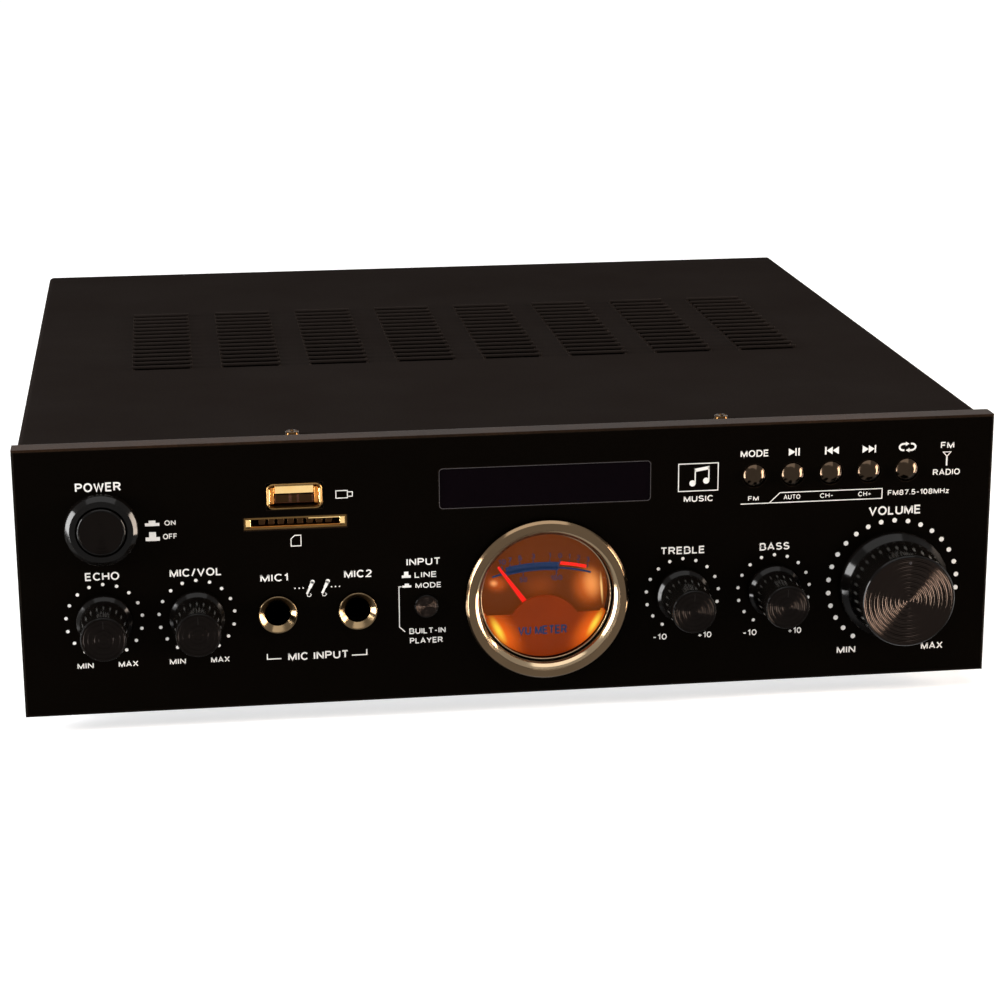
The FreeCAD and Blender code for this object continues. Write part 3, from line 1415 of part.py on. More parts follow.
def inlet_shell():
    """The outer width and height of the mains inlet's body."""
    return (INLET_WIDTH + 2 * INLET_WALL, INLET_HEIGHT + 2 * INLET_WALL)


def mains_inlet():
    """A flanged two-pin inlet with a rounded well."""
    width, height = inlet_shell()
    face = REAR + INLET_FLANGE_THICKNESS
    well_floor = face - INLET_DEPTH
    body = box(around(INLET_X, width), (well_floor - INLET_WALL, REAR), around(INLET_Z, height))
    flange = box(
        around(INLET_X, width + 2 * INLET_FLANGE), (REAR, face), around(INLET_Z, height + 2 * INLET_FLANGE)
    )
    well = box(around(INLET_X, INLET_WIDTH), (well_floor, face), around(INLET_Z, INLET_HEIGHT))
    well = rounded_along_y(well, INLET_CORNER)
    pin_range = (well_floor, well_floor + INLET_PIN_LENGTH)
    pins = [rod(x, INLET_Z, INLET_PIN_RADIUS, pin_range) for x in around(INLET_X, INLET_PIN_SPACING)]
    return joined([without(joined([body, flange]), [well]), *pins])


def all_nodes():
    """Every piece by the name of its node."""
    nodes = {
        "front_panel": front_panel(),
        "chassis_tray": chassis_tray(),
        "rear_panel": rear_panel(),
        "top_cover": top_cover(),
        "cover_screws": cover_screws(),
        "inner_screws": inner_screws(),
        "feet": feet(),
        "volume_knob": volume_knob(),
        "volume_shaft": shaft(VOLUME_X, VOLUME_Z, VOLUME_POT_DEPTH),
        "small_potentiometers": small_potentiometers(),
        "volume_potentiometer": volume_potentiometer(),
        "potentiometer_nuts": potentiometer_nuts(),
        "control_board": control_board(),
        "mic_jacks": mic_jacks(),
        "mic_jack_nuts": mic_jack_nuts(),
        "key_switches": key_switches(),
        "input_button": push_button(
            INPUT_X, INPUT_Z, INPUT_RADIUS, INPUT_PROUD, INPUT_TRAVEL, INPUT_STEM
        ),
        "input_switch": input_switch(),
        "power_button": push_button(
            POWER_X, POWER_Z, POWER_RADIUS, POWER_PROUD, POWER_TRAVEL, POWER_STEM
        ),
        "power_switch": push_switch(POWER_X, POWER_Z, POWER_SWITCH, POWER_SWITCH_DEPTH, POWER_STEM),
        "power_button_ring": power_button_ring(),
        "meter_bezel": meter_bezel(),
        "meter_lens": meter_lens(),
        "meter_case": meter_case(),
        "meter_dial": meter_dial(),
        "meter_mask": meter_mask(),
        "meter_needle": meter_needle(),
        "meter_movement": meter_movement(),
        "meter_lamps": meter_lamps(),
        "display_window": display_window(),
        "display_module": display_module(),
        "flash_drive_socket": flash_drive_socket(),
        "memory_card_slot": memory_card_slot(),
        "player_board": player_board(),
        "transformer_core": transformer_core(),
        "transformer_winding": transformer_winding(),
        "main_board": main_board(),
        "heatsink": heatsink(),
        "amplifier_chips": amplifier_chips(),
        "filter_capacitors": filter_capacitors(),
        "speaker_terminal_block": speaker_terminal_block(),
        "phono_jacks": phono_jacks(),
        "mains_inlet": mains_inlet(),
    }
    for name, x in KNOBS.items():
        nodes[name + "_knob"] = small_knob(x)
        nodes[name + "_shaft"] = shaft(x, CONTROL_Z, SMALL_POT_DEPTH)
    for name, x in zip(KEYS, key_places()):
        nodes[name + "_button"] = small_key(x)
    for name, x in zip(LEVERS, lever_places()):
        nodes[name + "_lever"] = terminal_lever(x)
    return nodes


def main():
    os.makedirs("parts", exist_ok=True)
    for name, shape in all_nodes().items():
        shape.translate(point(0, -ORIGIN_Y, FLOOR_GAP))
        shape.exportStep(os.path.join("parts", name + ".step"))


if __name__ == "__main__":
    main()
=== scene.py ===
import bmesh
import bpy
import numpy as np
from mathutils import Matrix, Vector


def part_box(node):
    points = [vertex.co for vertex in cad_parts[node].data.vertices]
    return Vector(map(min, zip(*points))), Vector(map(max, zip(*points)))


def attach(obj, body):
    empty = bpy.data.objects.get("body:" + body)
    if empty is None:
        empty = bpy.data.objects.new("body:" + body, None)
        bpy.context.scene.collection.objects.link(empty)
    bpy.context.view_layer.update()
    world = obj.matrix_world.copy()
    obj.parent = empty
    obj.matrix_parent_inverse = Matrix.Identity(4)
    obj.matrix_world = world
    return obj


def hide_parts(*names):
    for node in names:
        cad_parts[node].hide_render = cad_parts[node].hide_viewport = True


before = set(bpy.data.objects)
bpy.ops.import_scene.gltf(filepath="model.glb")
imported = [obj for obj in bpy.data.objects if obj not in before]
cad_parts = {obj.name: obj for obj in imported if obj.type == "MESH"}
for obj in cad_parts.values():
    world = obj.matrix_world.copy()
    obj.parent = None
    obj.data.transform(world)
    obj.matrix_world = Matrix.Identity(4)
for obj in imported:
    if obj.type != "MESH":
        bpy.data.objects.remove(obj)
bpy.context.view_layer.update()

# Everything below is worked out in millimetres in the panel's own frame: x to the right from the
# panel's middle, y backwards from its face, z up from its lower edge. placed() turns that into
# the row frame in metres.

FACE_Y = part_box("front_panel")[0].y
FOOT_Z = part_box("front_panel")[0].z
CABINET = "cabinet"
MERGE_DISTANCE = 2e-7
KNOBS = ("echo", "mic_volume", "treble", "bass")
KEYS = ("mode", "play", "previous", "next", "repeat")


def placed(points):
    """Points of the panel's frame in the row frame."""
    return np.asarray(points, float) / 1000 + np.array([0.0, FACE_Y, FOOT_Z])


def reach(node):
    """The lowest and highest corner of a CAD node in millimetres in the panel's frame."""
    shift = np.array([0.0, FACE_Y, FOOT_Z])
    return [(np.array(corner) - shift) * 1000 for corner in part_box(node)]


def axis_of(node):
    """x and z of the middle of a CAD node, seen from the front."""
    low, high = reach(node)
    return (low[0] + high[0]) / 2, (low[2] + high[2]) / 2


# Shells: a shell is its points, its four-sided faces, and each face corner's place on the
# piece's own map, where one unit is 10 mm along the surface.


def grid_shell(points):
    """Faces between neighbours of a grid of points whose columns run once round the piece.

    Face (i, j) joins (i, j), (i + 1, j), (i + 1, j + 1) and (i, j + 1), with the last column next
    to the first. The map gives u = j / columns and v = the length along the rows so far."""
    rows, columns = points.shape[:2]
    i, j = np.arange(rows - 1)[:, None], np.arange(columns)[None, :]
    down, right = i + 1, (j + 1) % columns
    corners = [i * columns + j, down * columns + j, down * columns + right, i * columns + right]
    faces = np.stack([np.broadcast_to(c, (len(i), columns)) for c in corners], -1).reshape(-1, 4)
    steps = np.linalg.norm(np.diff(points[:, 0], axis=0), axis=1)
    v = np.concatenate([[0.0], np.cumsum(steps)]) / 10
    u0, v0 = np.broadcast_arrays(j / columns, v[i])
    u1, v1 = np.broadcast_arrays((j + 1) / columns, v[i + 1])
    places = np.stack([np.stack(p, -1) for p in ((u0, v0), (u0, v1), (u1, v1), (u1, v0))], 2)
    return outward(points.reshape(-1, 3), faces, places.reshape(-1, 4, 2))


def outward(points, faces, places):
    """The shell with its faces turned over if its volume, which is the sum over its triangles of
    a . (b x c) / 6, comes out negative."""
    a, b, c, d = (points[faces[:, k]] for k in range(4))
    volume = np.sum(a * np.cross(b, c)) + np.sum(a * np.cross(c, d))
    if volume < 0:
        faces, places = faces[:, ::-1], places[:, ::-1]
    return points, faces, places


def turned(centre, profile, segments=96):
    """A body of revolution about the line along y through the centre (x, z).

    Point (i, j) is x + r_i cos a_j, y_i, z + r_i sin a_j, with a_j going once round. The profile
    starts and ends on the axis, or ends where it starts, so the shell is closed."""
    radius, y = np.array(profile, float).T
    turn = np.linspace(0, 2 * np.pi, segments, endpoint=False)
    points = np.stack([
        centre[0] + radius[:, None] * np.cos(turn),
        np.repeat(y[:, None], segments, 1),
        centre[1] + radius[:, None] * np.sin(turn),
    ], -1)
    return grid_shell(points)


def eased(profile, steps=4):
    """A profile of (radius, y, ease) points with each eased corner drawn as a curve.

    The curve leaves the corner c by ease on both sides, at a and b, and its points are
    (1 - t)^2 a + 2 t (1 - t) c + t^2 b."""
    corners = [np.array(p[:2], float) for p in profile]
    eases = [p[2] if len(p) > 2 else 0.0 for p in profile]
    points = []
    for k, (corner, ease) in enumerate(zip(corners, eases)):
        if not ease or k in (0, len(corners) - 1):
            points.append(corner)
            continue
        before, after = corners[k - 1] - corner, corners[k + 1] - corner
        a = corner + before * min(0.5, ease / np.linalg.norm(before))
        b = corner + after * min(0.5, ease / np.linalg.norm(after))
        t = np.linspace(0, 1, steps + 1)[:, None]
        points.extend((1 - t) ** 2 * a + 2 * t * (1 - t) * corner + t ** 2 * b)
    return points


def rounded_outline(width, height, corner, steps=5):
    """Points (x, z) once round a rectangle with round corners, about its own middle."""
    turn = np.linspace(0, np.pi / 2, steps)
    outline = []
    for k, (sx, sz) in enumerate(((1, 1), (-1, 1), (-1, -1), (1, -1))):
        x = sx * (width / 2 - corner) + corner * np.cos(turn + k * np.pi / 2)
        z = sz * (height / 2 - corner) + corner * np.sin(turn + k * np.pi / 2)
        outline.append(np.stack([x, z], -1))
    return np.concatenate(outline)


def slab(x_range, y_range, z_range, corner, ease):
    """A block with round corners seen along y and eased front and back edges.

    Its rows are the rounded outline, drawn in by ease (1 - sin t) at depth ease (1 - cos t) from
    each end, and both ends are closed by a point in their middle."""
    width, height = x_range[1] - x_range[0], z_range[1] - z_range[0]
    centre = np.array([sum(x_range), sum(z_range)]) / 2
    t = np.linspace(0, np.pi / 2, 4)
    insets = ease * (1 - np.sin(t))
    depths = ease * (1 - np.cos(t))
    ring = [rounded_outline(width - 2 * i, height - 2 * i, max(corner - i, 0.02)) for i in insets]
    rows = [(y_range[0], 0 * ring[0])]
    rows += [(y_range[0] + d, outline) for d, outline in zip(depths, ring)]
    rows += [(y_range[1] - d, outline) for d, outline in zip(depths[::-1], ring[::-1])]
    rows += [(y_range[1], 0 * ring[0])]
    grid = [np.insert(outline + centre, 1, y, axis=1) for y, outline in rows]
    return grid_shell(np.array(grid))


def about(middle, half):
    """The range of values that lie within half a width of the middle."""
    return middle - half, middle + half


def joined(shells):
    """Several shells as one."""
    start = np.cumsum([0, *[len(points) for points, _, _ in shells]])
    return (
        np.concatenate([points for points, _, _ in shells]),
        np.concatenate([faces + first for (_, faces, _), first in zip(shells, start)]),
        np.concatenate([places for _, _, places in shells]),
    )


def new_object(name, data):
    """An object of the scene, linked."""
    obj = bpy.data.objects.new(name, data)
    bpy.context.scene.collection.objects.link(obj)
    return obj


def piece(name, shell, material, body=CABINET, stands_for=(), sharp=40):
    """A finished piece from a shell. Points that coincide at poles are merged, and edges
    sharper than the given angle stay crisp."""
    points, faces, places = shell
    mesh = bpy.data.meshes.new(name)
    mesh.from_pydata(placed(points).tolist(), [], faces.tolist())
    mesh.uv_layers.new(name="map").data.foreach_set("uv", places.astype(np.float32).ravel())
    work = bmesh.new()
    work.from_mesh(mesh)
    bmesh.ops.remove_doubles(work, verts=work.verts, dist=MERGE_DISTANCE)
    work.to_mesh(mesh)
    work.free()
    mesh.polygons.foreach_set("use_smooth", [True] * len(mesh.polygons))
    mesh.set_sharp_from_angle(angle=np.radians(sharp))
    mesh.materials.append(material)
    obj = new_object(name, mesh)
    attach(obj, body)
    if stands_for:
        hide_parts(*stands_for)


# Prints: flat ink shapes, each a list of (x, z) points and the faces between them, gathered
# into one mesh that lies just in front of the surface that carries it.


def bow(centre, half, turns, steps=9):
    """Points on an ellipse: centre + (half_x cos a, half_z sin a), for a between two turns."""
    turn = np.radians(np.linspace(*turns, steps))
    return [(centre[0] + half[0] * np.cos(a), centre[1] + half[1] * np.sin(a)) for a in turn]


# Each letter: its width and its strokes, for a height of 1.
LETTERS = {
    "A": (0.70, [[(0, 0), (0.35, 1), (0.70, 0)], [(0.13, 0.3), (0.57, 0.3)]]),
    "B": (0.62, [[(0, 0.5), (0, 1), *bow((0.34, 0.76), (0.22, 0.24), (90, -90)), (0, 0.52), (0, 0),
                  *bow((0.36, 0.26), (0.26, 0.26), (-90, 90)), (0.1, 0.52)]]),
    "C": (0.66, [bow((0.36, 0.5), (0.36, 0.5), (42, 318), 17)]),
    "D": (0.66, [[(0.3, 0), (0, 0), (0, 1), *bow((0.28, 0.5), (0.38, 0.5), (90, -90), 13)]]),
    "E": (0.54, [[(0.54, 0), (0, 0), (0, 1), (0.52, 1)], [(0, 0.52), (0.48, 0.52)]]),
    "F": (0.52, [[(0, 0), (0, 1), (0.52, 1)], [(0, 0.5), (0.46, 0.5)]]),
    "H": (0.62, [[(0, 0), (0, 1)], [(0.62, 0), (0.62, 1)], [(0, 0.52), (0.62, 0.52)]]),
    "I": (0.0, [[(0, 0), (0, 1)]]),
    "L": (0.48, [[(0, 1), (0, 0), (0.48, 0)]]),
    "M": (0.76, [[(0, 0), (0, 1)], [(0, 1), (0.38, 0.04), (0.76, 1)], [(0.76, 1), (0.76, 0)]]),
    "N": (0.64, [[(0, 0), (0, 1)], [(0, 1), (0.64, 0)], [(0.64, 0), (0.64, 1)]]),
    "O": (0.74, [bow((0.37, 0.5), (0.37, 0.5), (0, 360), 25)]),
    "P": (0.58, [[(0, 0), (0, 1), *bow((0.32, 0.74), (0.26, 0.26), (90, -90)), (0.05, 0.48)]]),
    "R": (0.62, [[(0, 0), (0, 1), *bow((0.34, 0.75), (0.25, 0.25), (90, -90)), (0.05, 0.5)],
                 [(0.34, 0.5), (0.62, 0)]]),
    "S": (0.60, [[*bow((0.3, 0.755), (0.27, 0.245), (25, 262)),
                  *bow((0.3, 0.255), (0.3, 0.255), (82, -155))]]),
    "T": (0.60, [[(0, 1), (0.6, 1)], [(0.3, 1), (0.3, 0)]]),
    "U": (0.62, [[(0, 1), *bow((0.31, 0.31), (0.31, 0.31), (180, 360), 11), (0.62, 1)]]),
    "V": (0.68, [[(0, 1), (0.34, 0), (0.68, 1)]]),
    "X": (0.64, [[(0, 0), (0.64, 1)], [(0, 1), (0.64, 0)]]),
    "Y": (0.66, [[(0, 1), (0.33, 0.46), (0.66, 1)], [(0.33, 0.46), (0.33, 0)]]),
    "W": (0.92, [[(0, 1), (0.23, 0), (0.46, 0.94), (0.69, 0), (0.92, 1)]]),
    "z": (0.42, [[(0, 0.66), (0.4, 0.66), (0.02, 0), (0.42, 0)]]),
    "0": (0.54, [bow((0.27, 0.5), (0.27, 0.5), (0, 360), 25)]),
    "1": (0.22, [[(0, 0.76), (0.22, 1), (0.22, 0)]]),
    "2": (0.54, [[*bow((0.27, 0.73), (0.25, 0.27), (165, -35)), (0.0, 0), (0.54, 0)]]),
    "3": (0.54, [[*bow((0.26, 0.755), (0.23, 0.245), (150, -80)),
                  *bow((0.26, 0.255), (0.27, 0.255), (80, -155))]]),
    "5": (0.54, [[(0.48, 1), (0.1, 1), (0.04, 0.5),
                  *bow((0.26, 0.32), (0.28, 0.32), (125, -150), 11)]]),
    "7": (0.52, [[(0, 1), (0.52, 1), (0.18, 0)]]),
    "8": (0.54, [bow((0.27, 0.75), (0.23, 0.25), (0, 360), 17),
                 bow((0.27, 0.26), (0.27, 0.26), (0, 360), 17)]),
    "/": (0.32, [[(0, -0.04), (0.32, 1.04)]]),
    "-": (0.32, [[(0, 0.42), (0.32, 0.42)]]),
    "+": (0.48, [[(0, 0.42), (0.48, 0.42)], [(0.24, 0.16), (0.24, 0.68)]]),
    ".": (0.0, [[(0, 0), (0, 0.07)]]),
    " ": (0.16, []),
}
LETTER_GAP = 0.30
INK_LIFT = 0.03


def words(text, x_range, z_range, weight):
    """Letters drawn as strokes, spread to fill the given width and height. The strokes' width
    is a share of the height."""
    thick = weight * (z_range[1] - z_range[0])
    tall = z_range[1] - z_range[0] - thick
    natural = sum(LETTERS[c][0] for c in text) + LETTER_GAP * (len(text) - 1)
    wide = (x_range[1] - x_range[0] - thick) / natural
    pen, prints = x_range[0] + thick / 2, []
    for letter in text:
        width, paths = LETTERS[letter]
        for path in paths:
            points = np.array(path) * (wide, tall) + (pen, z_range[0] + thick / 2)
            prints.append(line(points, thick))
        pen += (width + LETTER_GAP) * wide
    return prints


def dot(x, z, radius, sides=16):
    """A round dot."""
    turn = np.linspace(0, 2 * np.pi, sides, endpoint=False)
    return area(np.stack([x + radius * np.cos(turn), z + radius * np.sin(turn)], -1))


def area(corners):
    """A filled outline, given anticlockwise."""
    return np.array(corners, float), [tuple(range(len(corners)))]


def bar(x0, x1, z0, z1):
    """A filled rectangle."""
    return area([(x0, z0), (x1, z0), (x1, z1), (x0, z1)])


def triangle(x0, x1, z0, z1):
    """A filled arrowhead that points from x0 to x1."""
    corners = [(x0, z0), (x1, (z0 + z1) / 2), (x0, z1)]
    return area(corners if x1 > x0 else corners[::-1])


def line(path, width):
    """A stroke along a path. At a bend its sides lie half the width from both runs: the offset
    is the mean of the two normals, divided by its own dot product with either one."""
    path = np.array(path, float)
    runs = np.diff(path, axis=0)
    runs /= np.linalg.norm(runs, axis=1)[:, None]
    closed = np.allclose(path[0], path[-1])
    first, last = (runs[-1], runs[0]) if closed else (runs[0], runs[-1])
    before, after = np.vstack([first, runs]), np.vstack([runs, last])
    mean = before + after
    mean /= np.linalg.norm(mean, axis=1)[:, None]
    reach_out = width / 2 / np.maximum(np.sum(mean * before, axis=1), 0.5)
    across = np.stack([-mean[:, 1], mean[:, 0]], -1) * reach_out[:, None]
    points = np.concatenate([path - across, path + across])
    n = len(path)
    return points, [(k, k + 1, n + k + 1, n + k) for k in range(n - 1)]


def dot_ring(node, radius, step, count, size):
    """Dots round a knob, evenly spread on both sides of the top."""
    x, z = axis_of(node)
    turns = np.radians((np.arange(count) - (count - 1) / 2) * step)
    return [dot(x + radius * np.sin(turn), z + radius * np.cos(turn), size) for turn in turns]


def printed(name, prints, y, material, body=CABINET):
    """One mesh of all the given ink shapes just in front of y, its faces looking forwards."""
    points, faces = [], []
    for shape, shape_faces in prints:
        start = len(points)
        points.extend((x, y - INK_LIFT, z) for x, z in shape)
        faces.extend(tuple(start + k for k in face) for face in shape_faces)
    mesh = bpy.data.meshes.new(name)
    mesh.from_pydata(placed(points).tolist(), [], faces)
    mesh.materials.append(material)
    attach(new_object(name, mesh), body)


# Shader building


class Nodes:
    """A node tree with short calls to add nodes and to join their sockets."""

    def __init__(self, tree):
        self.tree = tree

    def add(self, kind, inputs=(), **settings):
        """A new node with its settings and the values or links of its inputs."""
        node = self.tree.nodes.new("ShaderNode" + kind)
        for name, value in settings.items():
            setattr(node, name, value)
        self.fill(node, dict(inputs))
        return node

    def fill(self, node, inputs):
        for name, value in inputs.items():
            self.feed(node.inputs[name], value)

    def feed(self, socket, value):
        if isinstance(value, bpy.types.NodeSocket):
            self.tree.links.new(value, socket)
        else:
            socket.default_value = value

    def math(self, operation, *values, clamp=False):
        """The result of one sum on values or sockets."""
        node = self.add("Math", operation=operation, use_clamp=clamp)
        for socket, value in zip(node.inputs, values):
            self.feed(socket, value)
        return node.outputs[0]

    def mix(self, share, first, second):
        return self.add("Mix", {0: share, 6: first, 7: second}, data_type="RGBA").outputs[2]

    def group(self, name, **inputs):
        return self.add("Group", inputs, node_tree=bpy.data.node_groups[name]).outputs

    def speckle(self, size, detail):
        return self.group("speckle", Size=size, Detail=detail)["Value"]


def effect(name, inputs, outputs):
    """An empty node group with float inputs (name, default) and outputs (name, kind)."""
    tree = bpy.data.node_groups.new(name, "ShaderNodeTree")
    for socket, default in inputs:
        made = tree.interface.new_socket(socket, in_out="INPUT", socket_type="NodeSocketFloat")
        made.default_value = default
    for socket, kind in outputs:
        tree.interface.new_socket(socket, in_out="OUTPUT", socket_type="NodeSocket" + kind)
    given, out = tree.nodes.new("NodeGroupInput"), tree.nodes.new("NodeGroupOutput")
    return Nodes(tree), given.outputs, out.inputs


def build_effects():
    """The effects that the finishes share.

    speckle: noise of a given size in mm on the object's own coordinates.
    worn_and_sheen_edges: how far the rounded normal turns away from the face's own, broken up by
    noise; it lays wear on edges, and on the panel and the cover a painted highlight.
    dust_and_top_sheen: the share of the surface that looks up, broken up by noise; it lays dust,
    and on the front panel a painted sheen."""
    nodes, given, out = effect("speckle", [("Size", 1.0), ("Detail", 2.0)], [("Value", "Float")])
    place = nodes.add("TexCoord").outputs["Object"]
    scale = nodes.math("DIVIDE", 1000.0, given["Size"])
    noise = nodes.add("TexNoise", {"Vector": place, "Scale": scale, "Detail": given["Detail"]})
    nodes.feed(out["Value"], noise.outputs[0])

    nodes, given, out = effect("worn_and_sheen_edges", [("Width", 0.3), ("Amount", 0.5)],
                               [("Mask", "Float"), ("Normal", "Vector")])
    radius = nodes.math("MULTIPLY", given["Width"], 0.001)
    rounded = nodes.add("Bevel", {"Radius": radius}, samples=4).outputs[0]
    own = nodes.add("NewGeometry").outputs["True Normal"]
    turn = nodes.add("VectorMath", {0: rounded, 1: own}, operation="DOT_PRODUCT")
    away = nodes.math("SUBTRACT", 1.0, turn.outputs["Value"])
    bend = nodes.math("MULTIPLY", away, 6.0, clamp=True)
    broken = nodes.math("MULTIPLY", bend, nodes.speckle(2.5, 4.0))
    nodes.feed(out["Mask"], nodes.math("MULTIPLY", broken, given["Amount"], clamp=True))
    nodes.feed(out["Normal"], rounded)

    nodes, given, out = effect("dust_and_top_sheen", [("Amount", 0.1)], [("Mask", "Float")])
    own = nodes.add("NewGeometry").outputs["True Normal"]
    up = nodes.add("SeparateXYZ", {0: own}).outputs[2]
    lying = nodes.math("POWER", nodes.math("MAXIMUM", up, 0.0), 2.0)
    broken = nodes.math("MULTIPLY", nodes.speckle(30.0, 6.0), nodes.speckle(0.5, 2.0))
    cover = nodes.math("MULTIPLY", lying, nodes.math("MULTIPLY", broken, 4.0))
    nodes.feed(out["Mask"], nodes.math("MULTIPLY", cover, given["Amount"], clamp=True))


def shader(name):
    """A new material's nodes and its shader."""
    material = bpy.data.materials.new(name)
    material.use_nodes = True
    nodes = Nodes(material.node_tree)
    return material, nodes, material.node_tree.nodes["Principled BSDF"]


def finish(name, colour, roughness, grain, depth, metallic=0.0, specular=0.5, ior=1.5,
           gleam=(1.0, 1.0, 1.0), second=None, patch=12.0, smudge=0.1, edge=0.3, wear_and_sheen=0.3,
           worn_and_sheen=None, dust_and_sheen=0.0, dust_and_sheen_colour=(0.32, 0.30, 0.28)):
    """A plain finish with all its small detail.

    The colour drifts towards a second one in patches, turns to the worn colour on edges, which on
    the front panel and the cover is a painted highlight, and to dust on top, which on the front
    panel is a painted warm sheen; the roughness varies with smudges; fine grain raises the surface
    by a depth.
    Grain, depth, patch and edge are in mm."""
    material, nodes, surface = shader(name)
    second = second or tuple(0.75 * c for c in colour)
    worn_and_sheen = worn_and_sheen or tuple(min(1.0, 2.2 * c + 0.02) for c in colour)
    edges = nodes.group("worn_and_sheen_edges", Width=edge, Amount=wear_and_sheen)
    dust_and_sheen_mask = nodes.group("dust_and_top_sheen", Amount=dust_and_sheen)["Mask"]
    tint = nodes.mix(nodes.speckle(patch, 3.0), (*colour, 1), (*second, 1))
    tint = nodes.mix(edges["Mask"], tint, (*worn_and_sheen, 1))
    tint = nodes.mix(dust_and_sheen_mask, tint, (*dust_and_sheen_colour, 1))
    smudged = nodes.math("MULTIPLY_ADD", nodes.speckle(7.0, 5.0), smudge, roughness - smudge / 2)
    dulled = nodes.math("ADD", smudged, nodes.math("MULTIPLY", dust_and_sheen_mask, 0.3), clamp=True)
    raised = nodes.add("Bump", {
        "Height": nodes.speckle(grain, 2.0), "Distance": depth / 1000, "Normal": edges["Normal"],
    })
    nodes.fill(surface, {
        "Base Color": tint, "Roughness": dulled, "Metallic": metallic, "IOR": ior,
        "Specular IOR Level": specular, "Specular Tint": (*gleam, 1), "Normal": raised.outputs[0],
    })
    return material


METAL = {"metallic": 1.0}
UNWORN = {"edge": 0.01, "wear_and_sheen": 0.0}
SPUN = {**METAL, **UNWORN, "smudge": 0.05}
GLOSSY = {"edge": 0.12, "wear_and_sheen": 0.02, "worn_and_sheen": (0.02, 0.016, 0.013)}

